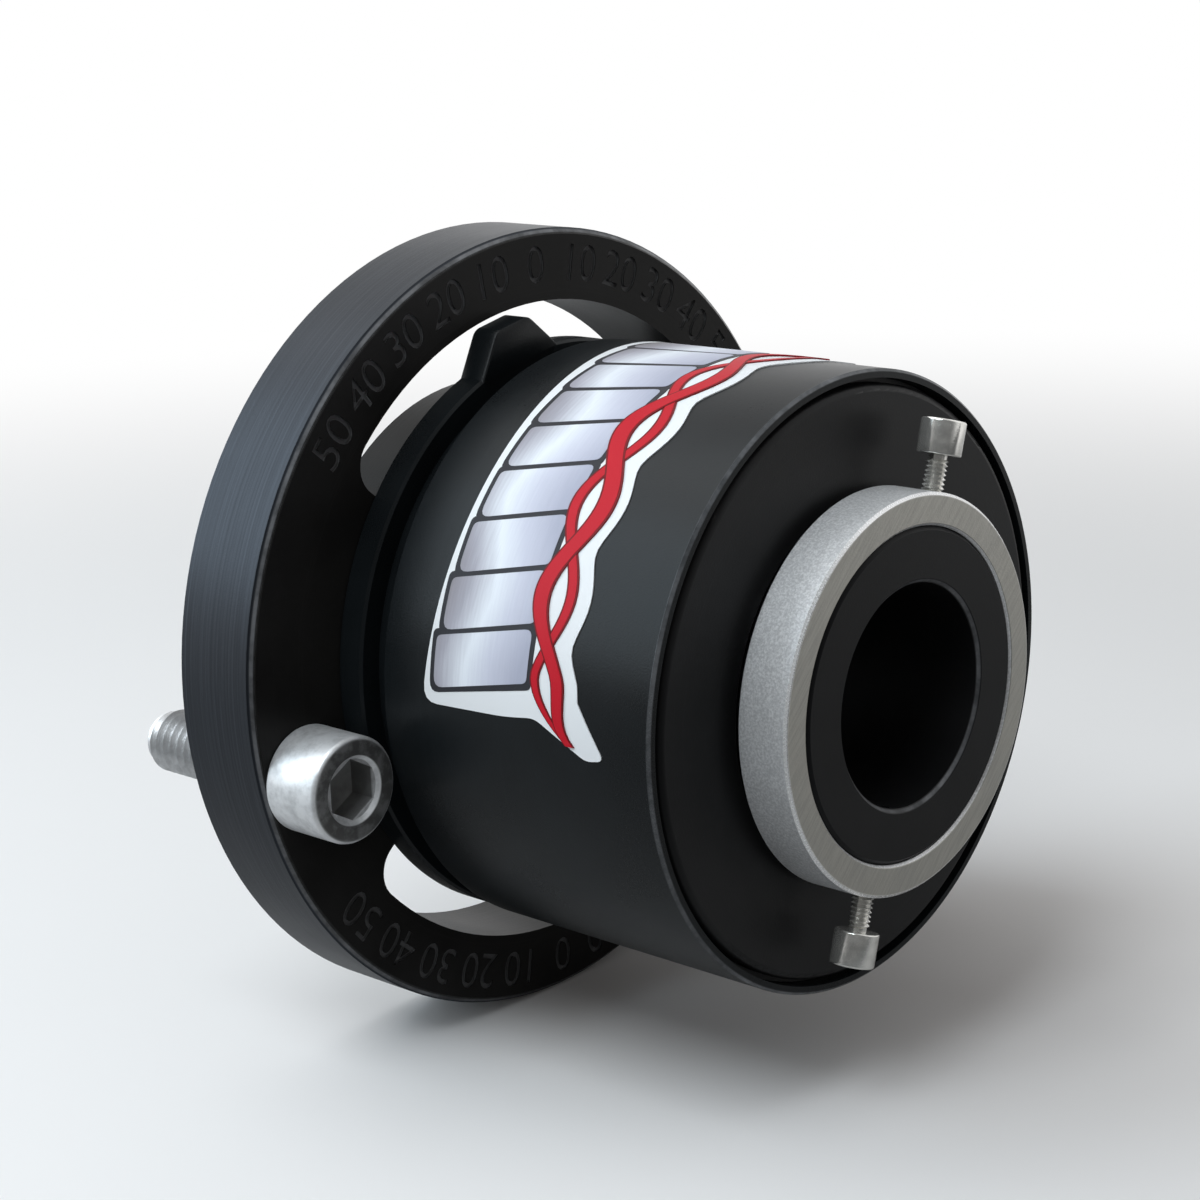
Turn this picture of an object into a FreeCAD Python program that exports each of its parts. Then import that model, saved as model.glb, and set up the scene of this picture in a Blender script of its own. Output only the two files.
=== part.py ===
"""Through-bore slip ring on its mounting ring.

The shaft axis is X. The origin is on that axis, at the mounting ring's back face, and +X points
towards the drive collar. +Z is up. Clock angles are counted from +Z towards +Y, in degrees.
"""
import FreeCAD, Part

import math
import os

import Sketcher
from FreeCAD import Placement, Rotation, Vector

# Driving sizes: name, value in millimetres, degrees or pieces, what it is
DRIVING_SIZES = (
    ("bore_radius", 10.0, "shaft bore of the rotor sleeve"),
    ("sleeve_wall", 5.0, "wall of the rotor sleeve"),
    ("sleeve_setback", 2.0, "sleeve's back end, in front of the housing spigot's end"),
    ("lead_channel_width", 3.0, "channel for the rotor leads in the sleeve"),
    ("lead_channel_depth", 1.4, "depth of that channel"),
    ("edge_break", 0.4, "chamfer on turned edges"),
    ("fit_play", 0.05, "radial play between pieces that fit into each other"),
    ("ring_thickness", 10.0, "mounting ring, back to front"),
    ("ring_margin", 0.1, "mounting ring's edge, outside the bolt heads"),
    ("ring_edge_break", 0.6, "chamfer on the mounting ring's outer edges"),
    ("hub_wall", 2.8, "mounting ring, between its bore and the windows"),
    ("band_width", 6.8, "mounting ring, between the windows and its edge"),
    ("window_half_angle", 53.0, "half of the angle that one window takes"),
    ("window_corner_radius", 3.0, "rounding of the window corners"),
    ("bolt_angle", 257.3, "clock angle of the left bracket bolt"),
    ("bolt_clearance", 0.2, "gap between the bolt heads and the housing"),
    ("bolt_radius", 3.0, "bracket bolt, thread behind the mounting ring"),
    ("bolt_waist_depth", 0.1, "bracket bolt, its shank inside the mounting ring below the thread"),
    ("bolt_hole_play", 0.2, "clearance holes, round the screws"),
    ("bolt_head_radius", 4.9, "bracket bolt, head"),
    ("bolt_head_height", 6.4, "bracket bolt, height of the head"),
    ("bolt_hex_width", 5.0, "bracket bolt, hexagon across flats"),
    ("bolt_standout", 10.0, "bracket bolt, length behind the mounting ring"),
    ("spigot_length", 6.0, "housing spigot in the mounting ring's bore"),
    ("spigot_wall", 1.75, "wall of that spigot"),
    ("flange_step", 0.2, "rear flange, inside the housing's outline"),
    ("flange_thickness", 3.0, "thickness of the rear flange"),
    ("neck_wall", 0.2, "neck, outside the flange screws"),
    ("neck_depth", 2.4, "neck between the flange and the body, below the body"),
    ("neck_width", 3.0, "width of that neck"),
    ("body_length", 31.3, "housing body, neck to front rim"),
    ("body_wall", 2.5, "wall of the housing body"),
    ("cavity_step", 0.8, "step between the rear bearing and the cavity"),
    ("bearing_floor", 0.6, "rear bearing, in front of the mounting ring's face"),
    ("ear_angle", 348.0, "clock angle of the upper ear on the flange"),
    ("ear_height", 3.2, "height of the ear above the flange"),
    ("ear_base_width", 11.0, "width of the ear where it leaves the flange"),
    ("ear_tip_width", 4.4, "width of the ear at its tip"),
    ("ear_tip_round", 1.8, "rounding of the ear's tip"),
    ("rim_wall", 0.8, "housing's front rim, round the cap"),
    ("cap_thickness", 3.4, "cap, thickness of its disc"),
    ("cap_groove_width", 0.5, "width of the shadow groove round the cap"),
    ("cap_groove_depth", 1.6, "depth of the shadow groove round the cap"),
    ("cap_edge_round", 0.7, "rounding of the cap's front edge"),
    ("cap_lip", 1.4, "cap, wall in front of the front bearing"),
    ("cap_hole_play", 0.7, "cap, gap between its hole and the spacer"),
    ("boss_overhang", 0.5, "cap's boss, length behind the front bearing"),
    ("cord_ring_section", 1.1, "thickness of the cap's O-ring"),
    ("cord_groove_width", 1.5, "groove for the O-ring"),
    ("cord_groove_setback", 1.4, "groove, behind the cap's disc"),
    ("bearing_width", 7.0, "ball bearings, width"),
    ("bearing_section", 6.0, "ball bearings, bore to outside"),
    ("race_wall", 1.6, "ball bearings, wall of a race"),
    ("ball_radius", 1.9, "bearing balls"),
    ("ball_count", 12, "balls in each bearing"),
    ("running_gap", 0.05, "play between a ball and its track, and under the brush wires"),
    ("cage_wall", 1.4, "ball cage, wall"),
    ("cage_width", 5.2, "ball cage, width"),
    ("clip_seat", 0.6, "depth of the groove for the clip behind the rear bearing"),
    ("clip_width", 1.0, "thickness of that clip"),
    ("clip_height", 2.2, "height of that clip above the sleeve"),
    ("clip_clearance", 1.0, "gap between that clip and the spigot"),
    ("clip_gap", 5.0, "opening of that clip"),
    ("seal_setback", 0.4, "rear seal, in front of the sleeve's back end"),
    ("seal_width", 2.4, "rear seal, width"),
    ("seal_gap", 0.1, "play between the rear seal and the sleeve"),
    ("nose_wall", 1.4, "ends of the carrier, against the inner races"),
    ("carrier_wall", 2.0, "barrel under the contact rings"),
    ("carrier_relief", 1.4, "carrier's rear nose, length"),
    ("carrier_flange_rise", 0.6, "flange behind the contact rings, above them"),
    ("carrier_flange_width", 1.0, "thickness of that flange"),
    ("carrier_front_nose", 0.5, "carrier's front nose, length"),
    ("clamp_width", 0.8, "thickness of the clamp ring in front of the contact rings"),
    ("contact_count", 8, "contact rings"),
    ("contact_wall", 3.0, "contact rings, bore to outside"),
    ("contact_groove_depth", 0.4, "V groove in a contact ring"),
    ("insulator_rise", 1.0, "insulators, above the contact rings"),
    ("insulator_width", 0.8, "insulators, thickness"),
    ("brush_radius", 0.2, "brush wires"),
    ("brush_overrun", 3.0, "brush wires, length past the point of contact"),
    ("brush_end_angle", 35.0, "end of the brush wires in the holder, from their contact"),
    ("brush_angle", 20.0, "clock angle at which the first set of wires touches"),
    ("holder_clearance", 1.2, "gap between the insulators and the brush holders"),
    ("holder_first_angle", 28.0, "start of a brush holder, from its wires' contact"),
    ("holder_last_angle", 46.0, "end of a brush holder, from its wires' contact"),
    ("collar_wall", 2.9, "drive collar, wall"),
    ("collar_gap", 0.9, "space between the cap and the collar"),
    ("collar_width", 5.2, "drive collar, width"),
    ("collar_edge_break", 0.25, "chamfer on the collar's edges"),
    ("spacer_wall", 1.2, "spacer between the front bearing and the collar"),
    ("set_screw_angle", 17.0, "clock angle of the upper clamping screw"),
    ("set_screw_setback", 1.7, "clamping screws, axis behind the collar's front"),
    ("set_screw_radius", 1.0, "clamping screws, shank"),
    ("set_screw_standoff", 3.2, "clamping screws, collar to the head's underside"),
    ("set_screw_end_gap", 0.3, "clamping screws, tip to the shaft bore"),
    ("set_screw_head_radius", 2.0, "clamping screws, head"),
    ("set_screw_head_height", 3.1, "clamping screws, height of the head"),
    ("set_screw_hex_width", 1.5, "clamping screws, hexagon across flats"),
    ("flange_screw_radius", 1.5, "flange screws, shank"),
    ("flange_screw_head_radius", 2.75, "flange screws, head"),
    ("flange_screw_head_height", 3.0, "flange screws, height of the head"),
    ("flange_screw_hex_width", 2.5, "flange screws, hexagon across flats"),
    ("flange_screw_wall", 1.4, "housing, between the rear bearing and the flange screws"),
    ("flange_screw_spread", 22.0, "flange screws, angle on each side of the ring's pads"),
    ("flange_screw_hole_play", 0.1, "clearance holes of the flange screws"),
    ("flange_screw_bite", 5.2, "flange screws, depth in the housing"),
    ("flange_screw_sink", 0.4, "flange screws, heads below the ring's back face"),
    ("grommet_angle", 120.0, "clock angle of the lead grommet"),
    ("grommet_setback", 8.0, "lead grommet, in front of the neck"),
    ("grommet_hole_radius", 1.6, "lead grommet, hole"),
    ("grommet_wall", 1.0, "lead grommet, where it passes the housing"),
    ("grommet_rim_width", 1.0, "lead grommet, width of the rim"),
    ("grommet_rim_height", 1.2, "lead grommet, height of the rim"),
    ("grommet_flat_depth", 0.5, "flat for the grommet's rim, below the housing's surface"),
)


class Size:
    """A number worked out from the sheet: its value now, and the expression that keeps it so."""

    def __init__(self, value, text):
        self.value = value
        self.text = text

    def __add__(self, other):
        other = as_size(other)
        return Size(self.value + other.value, f"({self.text} + {other.text})")

    def __sub__(self, other):
        other = as_size(other)
        return Size(self.value - other.value, f"({self.text} - {other.text})")

    def __mul__(self, other):
        other = as_size(other)
        return Size(self.value * other.value, f"({self.text} * {other.text})")

    def __truediv__(self, other):
        other = as_size(other)
        return Size(self.value / other.value, f"({self.text} / {other.text})")

    def __neg__(self):
        return Size(-self.value, f"(-1 * {self.text})")


def as_size(number):
    """A plain number as a Size, or the Size itself."""
    return number if isinstance(number, Size) else Size(number, repr(number))


def sine(angle):
    """The sine of an angle in degrees."""
    return Size(math.sin(math.radians(angle.value)), f"sin({angle.text})")


def cosine(angle):
    """The cosine of an angle in degrees."""
    return Size(math.cos(math.radians(angle.value)), f"cos({angle.text})")


def tangent(angle):
    """The tangent of an angle in degrees."""
    return Size(math.tan(math.radians(angle.value)), f"tan({angle.text})")


def smaller(first, second):
    """The smaller of two sizes."""
    return Size(min(first.value, second.value), f"min({first.text}; {second.text})")


class Sheet:
    """The document's spreadsheet, with one attribute for each driving size."""

    def __init__(self, document, rows):
        cells = document.addObject("Spreadsheet::Sheet", "Sizes")
        for row, (name, value, meaning) in enumerate(rows, start=1):
            cells.set(f"A{row}", name)
            cells.set(f"B{row}", str(value))
            cells.set(f"C{row}", meaning)
            cells.setAlias(f"B{row}", name)
        document.recompute()
        for name, _, _ in rows:
            setattr(self, name, Size(float(cells.get(name)), f"Sizes.{name}"))


doc = FreeCAD.newDocument("SlipRing")
size = Sheet(doc, DRIVING_SIZES)
HALF_TURN = as_size(180.0)
QUARTER_TURN = as_size(90.0)
ZERO = as_size(0.0)
subparts = []


# Shares of one size in another, for edges that no size needs to drive
HEAD_EDGE = 0.1
TIP_EDGE = 0.25
SOCKET_DEPTH = 0.5
ROUNDING_LIMIT = 0.45
RIM_EDGE = 0.4
CUT_OVERRUN = 1.1

# Radii, from the shaft outwards
sleeve_radius = size.bore_radius + size.sleeve_wall
bearing_radius = sleeve_radius + size.bearing_section
inner_race_radius = sleeve_radius + size.race_wall
outer_race_radius = bearing_radius - size.race_wall
ball_circle_radius = (inner_race_radius + outer_race_radius) / 2
clip_radius = sleeve_radius + size.clip_height
spigot_bore_radius = clip_radius + size.clip_clearance
spigot_radius = spigot_bore_radius + size.spigot_wall
ring_bore_radius = spigot_radius + size.fit_play
window_inner_radius = ring_bore_radius + size.hub_wall
flange_screw_circle = bearing_radius + size.flange_screw_wall + size.flange_screw_radius
neck_radius = flange_screw_circle + size.flange_screw_radius + size.neck_wall
housing_radius = neck_radius + size.neck_depth
flange_radius = housing_radius - size.flange_step
cavity_radius = housing_radius - size.body_wall
rim_bore_radius = housing_radius - size.rim_wall
bolt_circle_radius = housing_radius + size.bolt_clearance + size.bolt_head_radius
bolt_hole_radius = size.bolt_radius + size.bolt_hole_play
flange_screw_hole_radius = size.flange_screw_radius + size.flange_screw_hole_play
flange_screw_recess_radius = size.flange_screw_head_radius + size.bolt_hole_play
ring_radius = bolt_circle_radius + size.bolt_head_radius + size.ring_margin
window_outer_radius = ring_radius - size.band_width
nose_radius = sleeve_radius + size.nose_wall
carrier_radius = sleeve_radius + size.carrier_wall
contact_radius = carrier_radius + size.contact_wall
carrier_flange_radius = contact_radius + size.carrier_flange_rise
insulator_radius = contact_radius + size.insulator_rise
spacer_radius = sleeve_radius + size.spacer_wall
collar_radius = sleeve_radius + size.collar_wall

# Places along the axis, from back to front
ring_front = size.ring_thickness
spigot_back = ring_front - size.spigot_length
sleeve_back = spigot_back + size.sleeve_setback
flange_front = ring_front + size.flange_thickness
neck_front = flange_front + size.neck_width
housing_front = neck_front + size.body_length
rear_bearing_back = ring_front + size.bearing_floor
rear_bearing_front = rear_bearing_back + size.bearing_width
cavity_back = rear_bearing_front + size.cavity_step
cap_floor = housing_front - size.cap_thickness
front_bearing_front = housing_front - size.cap_lip
front_bearing_back = front_bearing_front - size.bearing_width
boss_back = front_bearing_back - size.boss_overhang
collar_back = housing_front + size.collar_gap
collar_front = collar_back + size.collar_width
set_screw_place = collar_front - size.set_screw_setback
flange_screw_seat = size.flange_screw_head_height + size.flange_screw_sink

# The contact stack fills the carrier between its flange and the clamp ring
carrier_flange_back = rear_bearing_front + size.carrier_relief
stack_back = carrier_flange_back + size.carrier_flange_width
clamp_front = front_bearing_back - size.carrier_front_nose
stack_front = clamp_front - size.clamp_width
contact_pitch = (stack_front - stack_back - size.insulator_width) / size.contact_count
contact_width = contact_pitch - size.insulator_width
wire_height = (contact_radius - size.contact_groove_depth
               + size.brush_radius * math.sqrt(2.0) + size.running_gap)
wire_reach = wire_height * tangent(size.brush_end_angle)


def origin_feature(body, role):
    """One of a body's own origin planes or axes."""
    return next(feature for feature in body.Origin.OriginFeatures if feature.Role == role)


def new_body(label):
    """An empty body that becomes the sub-part of that name."""
    body = doc.addObject("PartDesign::Body", label)
    body.Label = label
    subparts.append(body)
    return body


def new_sketch(body, role, offset=ZERO):
    """A sketch on one of the body's origin planes, moved along the plane's normal."""
    sketch = body.newObject("Sketcher::SketchObject", f"{body.Label}_sketch")
    sketch.AttachmentSupport = [(origin_feature(body, role), "")]
    sketch.MapMode = "FlatFace"
    sketch.AttachmentOffset = Placement(Vector(0, 0, offset.value), Rotation())
    sketch.setExpression("AttachmentOffset.Base.z", offset.text)
    return sketch


def constrain(sketch, kind, *target):
    """A dimension in a sketch, whose last argument is the size that drives it."""
    *where, amount = target
    index = sketch.addConstraint(Sketcher.Constraint(kind, *where, amount.value))
    sketch.setExpression(f"Constraints[{index}]", amount.text)


def pin_point(sketch, edge, end, across, up):
    """Fix one end of an edge by its distances from the sketch's origin."""
    constrain(sketch, "DistanceX", -1, 1, edge, end, across)
    constrain(sketch, "DistanceY", -1, 1, edge, end, up)


def arc_between(start, end, radius, turns_left):
    """The shorter arc from one point to another, as a circle's arc that runs anticlockwise."""
    if not turns_left:
        start, end = end, start
    chord = end - start
    left = Vector(-chord.y, chord.x, 0).normalize()
    rise = math.sqrt(max(radius ** 2 - (chord.Length / 2) ** 2, 0.0))
    centre = (start + end) / 2 + left * rise
    angles = [math.atan2(point.y - centre.y, point.x - centre.x) for point in (start, end)]
    return Part.ArcOfCircle(Part.Circle(centre, Vector(0, 0, 1), radius), *angles)


def draw_outline(sketch, points):
    """A closed outline. A point is (across, up), and (across, up, radius, turns_left) starts an arc."""
    places = [Vector(point[0].value, point[1].value, 0) for point in points]
    first = sketch.GeometryCount
    ends = []
    for index, point in enumerate(points):
        start = places[index]
        end = places[(index + 1) % len(points)]
        if len(point) == 2:
            sketch.addGeometry(Part.LineSegment(start, end), False)
            ends.append((1, 2))
        else:
            sketch.addGeometry(arc_between(start, end, point[2].value, point[3]), False)
            ends.append((1, 2) if point[3] else (2, 1))
    for index, point in enumerate(points):
        following = (index + 1) % len(points)
        joined = Sketcher.Constraint("Coincident", first + index, ends[index][1],
                                     first + following, ends[following][0])
        sketch.addConstraint(joined)
    for index, point in enumerate(points):
        pin_point(sketch, first + index, ends[index][0], point[0], point[1])
        if len(point) == 4:
            constrain(sketch, "Radius", first + index, point[2])


def draw_circle(sketch, across, up, radius):
    """A circle with its centre fixed from the sketch's origin."""
    centre = Vector(across.value, up.value, 0)
    edge = sketch.addGeometry(Part.Circle(centre, Vector(0, 0, 1), radius.value), False)
    pin_point(sketch, edge, 3, across, up)
    constrain(sketch, "Radius", edge, radius)


def draw_box(sketch, left, right, low, high):
    """A rectangle between two places across and two places up."""
    draw_outline(sketch, [(left, low), (right, low), (right, high), (left, high)])


def clock_point(radius, angle):
    """A point of the YZ plane, as (y, z), at a radius and a clock angle."""
    return radius * sine(angle), radius * cosine(angle)


def draw_sector(sketch, inner, outer, first, last):
    """A sector between two radii, from one clock angle to a later one."""
    draw_outline(sketch, [
        (*clock_point(outer, first), outer, False),
        clock_point(outer, last),
        (*clock_point(inner, last), inner, True),
        clock_point(inner, first),
    ])


def draw_hexagon(sketch, across_flats):
    """A hexagon round the sketch's origin."""
    corner_radius = across_flats / math.sqrt(3.0)
    draw_outline(sketch, [clock_point(corner_radius, as_size(60.0 * corner)) for corner in range(6)])


def turn(body, outline, kind="PartDesign::Revolution", about="H_Axis"):
    """Turn an outline of (along the axis, away from the axis) about the body's X or Z axis."""
    sketch = new_sketch(body, "XZ_Plane")
    if about == "V_Axis":
        outline = [(out, along) for along, out in outline]
    draw_outline(sketch, outline)
    feature = body.newObject(kind, f"{body.Label}_turning")
    feature.Profile = sketch
    feature.ReferenceAxis = (sketch, [about])
    feature.Angle = 360.0
    return feature


def turned(label, outline, about="H_Axis"):
    """A body that is turned from one outline."""
    body = new_body(label)
    turn(body, outline, about=about)
    return body


def washer(label, back, front, inner, outer, edge_break=None):
    """A plain turned ring, with its outer edges broken where that is asked for."""
    if edge_break is None:
        return turned(label, [(back, inner), (front, inner), (front, outer), (back, outer)])
    return turned(label, [
        (back, inner), (front, inner), (front, outer - edge_break), (front - edge_break, outer),
        (back + edge_break, outer), (back, outer - edge_break),
    ])


def push(body, sketch, kind, length=None, reverse=False):
    """Pad or pocket a sketch, to a length or through everything."""
    feature = body.newObject(kind, f"{body.Label}_{kind[len('PartDesign::'):].lower()}")
    feature.Profile = sketch
    feature.Reversed = reverse
    if length is None:
        feature.Type = "ThroughAll"
    else:
        feature.Length = length.value
        feature.setExpression("Length", length.text)
    return feature


def repeat_round(body, feature, count):
    """Repeat a feature round the X axis."""
    pattern = body.newObject("PartDesign::PolarPattern", f"{body.Label}_round")
    pattern.Originals = [feature]
    pattern.Axis = (origin_feature(body, "X_Axis"), [""])
    pattern.Angle = 360.0
    pattern.Occurrences = int(count.value)
    pattern.setExpression("Occurrences", count.text)
    body.Tip = pattern
    return pattern


def repeat_along(body, feature, count, pitch):
    """Repeat a feature along the X axis."""
    length = pitch * (count - 1)
    pattern = body.newObject("PartDesign::LinearPattern", f"{body.Label}_along")
    pattern.Originals = [feature]
    pattern.Direction = (origin_feature(body, "X_Axis"), [""])
    pattern.Length = length.value
    pattern.setExpression("Length", length.text)
    pattern.Occurrences = int(count.value)
    pattern.setExpression("Occurrences", count.text)
    body.Tip = pattern
    return pattern


def round_edges(body, radius, wanted):
    """Fillet the edges of the body's last feature that the test picks."""
    doc.recompute()
    base = body.Tip
    names = [f"Edge{number}" for number, edge in enumerate(base.Shape.Edges, start=1) if wanted(edge)]
    fillet = body.newObject("PartDesign::Fillet", f"{body.Label}_fillet")
    fillet.Base = (base, names)
    fillet.Radius = radius.value
    fillet.setExpression("Radius", radius.text)
    return fillet


def runs_along_axis(edge, near_radius, far_radius):
    """True for a straight edge parallel to X whose distance from the axis is in a range."""
    start, end = edge.Vertexes[0].Point, edge.Vertexes[-1].Point
    distance = math.hypot(start.y, start.z)
    parallel = math.hypot(start.y - end.y, start.z - end.z) < 1e-6
    return parallel and edge.Length > 1e-3 and near_radius < distance < far_radius


def place(body, along=ZERO, across=ZERO, up=ZERO):
    """Move a finished body."""
    body.Placement.Base = Vector(along.value, across.value, up.value)
    for name, amount in (("x", along), ("y", across), ("z", up)):
        body.setExpression(f"Placement.Base.{name}", amount.text)


def swing(body, angle):
    """Turn a finished body about the shaft axis, from the top to a clock angle."""
    body.Placement.Rotation = Rotation(Vector(-1, 0, 0), angle.value)
    body.setExpression("Placement.Rotation.Angle", angle.text)


# Mounting ring and its bolts

def make_mounting_ring():
    """Turned ring with two curved windows, and holes through the two pads between them."""
    edge = size.edge_break
    rim = size.ring_edge_break
    body = turned("mounting_ring", [
        (edge, ring_bore_radius), (ring_front - edge, ring_bore_radius),
        (ring_front, ring_bore_radius + edge), (ring_front, ring_radius - rim),
        (ring_front - rim, ring_radius), (rim, ring_radius),
        (ZERO, ring_radius - rim), (ZERO, ring_bore_radius + edge),
    ])
    windows = new_sketch(body, "YZ_Plane", ring_front)
    for middle in (ZERO, HALF_TURN):
        draw_sector(windows, window_inner_radius, window_outer_radius,
                    middle - size.window_half_angle, middle + size.window_half_angle)
    push(body, windows, "PartDesign::Pocket")
    margin = 0.1
    corner_radius = smaller(size.window_corner_radius,
                            (window_outer_radius - window_inner_radius) * ROUNDING_LIMIT)
    round_edges(body, corner_radius, lambda edge: runs_along_axis(
        edge, window_inner_radius.value - margin, window_outer_radius.value + margin))
    holes = new_sketch(body, "YZ_Plane", ring_front)
    for angle in bracket_bolt_angles():
        draw_circle(holes, *clock_point(bolt_circle_radius, angle), bolt_hole_radius)
    for angle in flange_screw_angles():
        draw_circle(holes, *clock_point(flange_screw_circle, angle), flange_screw_hole_radius)
    push(body, holes, "PartDesign::Pocket")
    recesses = new_sketch(body, "YZ_Plane")
    for angle in flange_screw_angles():
        draw_circle(recesses, *clock_point(flange_screw_circle, angle), flange_screw_recess_radius)
    push(body, recesses, "PartDesign::Pocket", flange_screw_seat, reverse=True)


def bracket_bolt_angles():
    """Clock angles of the left and the right bracket bolt."""
    return size.bolt_angle, size.bolt_angle - HALF_TURN


def flange_screw_angles():
    """Clock angles of the four flange screws, two on each pad."""
    return [middle + side for middle in (QUARTER_TURN, QUARTER_TURN + HALF_TURN)
            for side in (-size.flange_screw_spread, size.flange_screw_spread)]


def make_cap_screw(label, shank, head, hex_width, head_side, waist=None):
    """Socket cap screw on the X axis, its head's underside at X = 0, head towards head_side (1, -1).

    Shank, head and waist are (radius, length); the waist is the shank's narrower part below the head.
    """
    side = as_size(float(head_side))
    shank_radius, shank_length = shank
    head_radius, head_height = head
    edge = head_radius * HEAD_EDGE
    tip_edge = shank_radius * TIP_EDGE
    below_head = [(ZERO, shank_radius)]
    if waist:
        waist_radius, waist_length = waist
        below_head = [(-waist_length * side, shank_radius), (-waist_length * side, waist_radius),
                      (ZERO, waist_radius)]
    body = turned(label, [
        (-shank_length * side, ZERO), (-shank_length * side, shank_radius - tip_edge),
        ((tip_edge - shank_length) * side, shank_radius), *below_head, (ZERO, head_radius),
        ((head_height - edge) * side, head_radius), (head_height * side, head_radius - edge),
        (head_height * side, ZERO),
    ])
    socket = new_sketch(body, "YZ_Plane", head_height * side)
    draw_hexagon(socket, hex_width)
    push(body, socket, "PartDesign::Pocket", head_height * SOCKET_DEPTH, reverse=head_side < 0)
    return body


def make_bracket_bolts():
    """Two bolts through the pads, which stand out behind the ring."""
    for label, angle in zip(("bracket_bolt_left", "bracket_bolt_right"), bracket_bolt_angles()):
        body = make_cap_screw(label, (size.bolt_radius, ring_front + size.bolt_standout),
                              (size.bolt_head_radius, size.bolt_head_height), size.bolt_hex_width, 1,
                              waist=(size.bolt_radius - size.bolt_waist_depth, ring_front))
        place(body, ring_front, *clock_point(bolt_circle_radius, angle))


def make_flange_screws():
    """Four screws from behind, through the mounting ring into the housing."""
    shank_length = ring_front - flange_screw_seat + size.flange_screw_bite
    for number, angle in enumerate(flange_screw_angles(), start=1):
        body = make_cap_screw(f"flange_screw_{number}", (size.flange_screw_radius, shank_length),
                              (size.flange_screw_head_radius, size.flange_screw_head_height),
                              size.flange_screw_hex_width, -1)
        place(body, flange_screw_seat, *clock_point(flange_screw_circle, angle))


# Stator

def make_housing():
    """Turned shell with a spigot and ear flange at the back and a rim recess at the front."""
    edge = size.edge_break
    body = turned("housing", [
        (spigot_back, spigot_bore_radius), (spigot_back, spigot_radius - edge),
        (spigot_back + edge, spigot_radius), (ring_front, spigot_radius),
        (ring_front, flange_radius - edge), (ring_front + edge, flange_radius),
        (flange_front - edge, flange_radius), (flange_front, flange_radius - edge),
        (flange_front, neck_radius), (neck_front, neck_radius),
        (neck_front, housing_radius - edge), (neck_front + edge, housing_radius),
        (housing_front - edge, housing_radius), (housing_front, housing_radius - edge),
        (housing_front, rim_bore_radius), (cap_floor, rim_bore_radius),
        (cap_floor, cavity_radius), (cavity_back, cavity_radius),
        (cavity_back, bearing_radius), (rear_bearing_back, bearing_radius),
        (rear_bearing_back, spigot_bore_radius),
    ])
    add_ears(body)
    drill_housing(body)


def add_ears(body):
    """Two opposite ears on the rear flange, with rounded tips."""
    for angle in (size.ear_angle, size.ear_angle - HALF_TURN):
        sketch = new_sketch(body, "YZ_Plane", ring_front)
        root = flange_radius - size.edge_break * 2
        tip = flange_radius + size.ear_height
        corners = [(-size.ear_base_width / 2, root), (-size.ear_tip_width / 2, tip),
                   (size.ear_tip_width / 2, tip), (size.ear_base_width / 2, root)]
        draw_outline(sketch, [(across * cosine(angle) + out * sine(angle),
                               out * cosine(angle) - across * sine(angle)) for across, out in corners])
        push(body, sketch, "PartDesign::Pad", size.flange_thickness)
    beyond_flange = flange_radius.value + size.ear_height.value / 2
    tip_round = smaller(size.ear_tip_round,
                        smaller(size.ear_tip_width, size.ear_height) * ROUNDING_LIMIT)
    round_edges(body, tip_round, lambda edge: runs_along_axis(
        edge, beyond_flange, housing_radius.value * 2))


def drill_housing(body):
    """Tapped holes for the flange screws, and the seat and hole for the lead grommet."""
    tapped = new_sketch(body, "YZ_Plane", ring_front)
    for angle in flange_screw_angles():
        draw_circle(tapped, *clock_point(flange_screw_circle, angle), size.flange_screw_radius)
    push(body, tapped, "PartDesign::Pocket", size.flange_screw_bite, reverse=True)
    grommet_radius, rim_radius, grommet_seat = grommet_sizes()
    for radius, bottom in ((rim_radius, grommet_seat), (grommet_radius, insulator_radius)):
        sketch = new_sketch(body, "XY_Plane")
        draw_circle(sketch, neck_front + size.grommet_setback, ZERO, radius)
        swing_sketch(sketch, bottom, size.grommet_angle)
        push(body, sketch, "PartDesign::Pocket", housing_radius, reverse=True)


def grommet_sizes():
    """The lead grommet's radius in the wall, its rim's radius, and the rim's seat from the axis."""
    radius = size.grommet_hole_radius + size.grommet_wall
    return radius, radius + size.grommet_rim_width, housing_radius - size.grommet_flat_depth


def swing_sketch(sketch, height, angle):
    """Move a sketch on the XY plane out to a height at a clock angle, facing away from the axis."""
    across, up = clock_point(height, angle)
    sketch.AttachmentOffset = Placement(Vector(0, across.value, up.value),
                                        Rotation(Vector(-1, 0, 0), angle.value))
    sketch.setExpression("AttachmentOffset.Base.y", across.text)
    sketch.setExpression("AttachmentOffset.Base.z", up.text)
    sketch.setExpression("AttachmentOffset.Rotation.Angle", angle.text)


def make_front_cap():
    """Disc with a bearing boss behind it, a shadow groove round it and an O-ring groove."""
    boss_radius = cavity_radius - size.fit_play
    disc_radius = rim_bore_radius - size.fit_play
    face_radius = rim_bore_radius - size.cap_groove_width
    hole_radius = spacer_radius + size.cap_hole_play
    groove_front = cap_floor - size.cord_groove_setback
    groove_back = groove_front - size.cord_groove_width
    groove_floor = cavity_radius - size.cord_ring_section
    groove_bottom = housing_front - size.cap_groove_depth
    turned_edge = size.cap_edge_round
    turned("front_cap", [
        (boss_back, bearing_radius), (boss_back, boss_radius),
        (groove_back, boss_radius), (groove_back, groove_floor),
        (groove_front, groove_floor), (groove_front, boss_radius),
        (cap_floor, boss_radius), (cap_floor, disc_radius),
        (groove_bottom, disc_radius), (groove_bottom, face_radius),
        (housing_front - turned_edge, face_radius, turned_edge, False),
        (housing_front, face_radius - turned_edge), (housing_front, hole_radius),
        (front_bearing_front, hole_radius), (front_bearing_front, bearing_radius),
    ])


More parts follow.
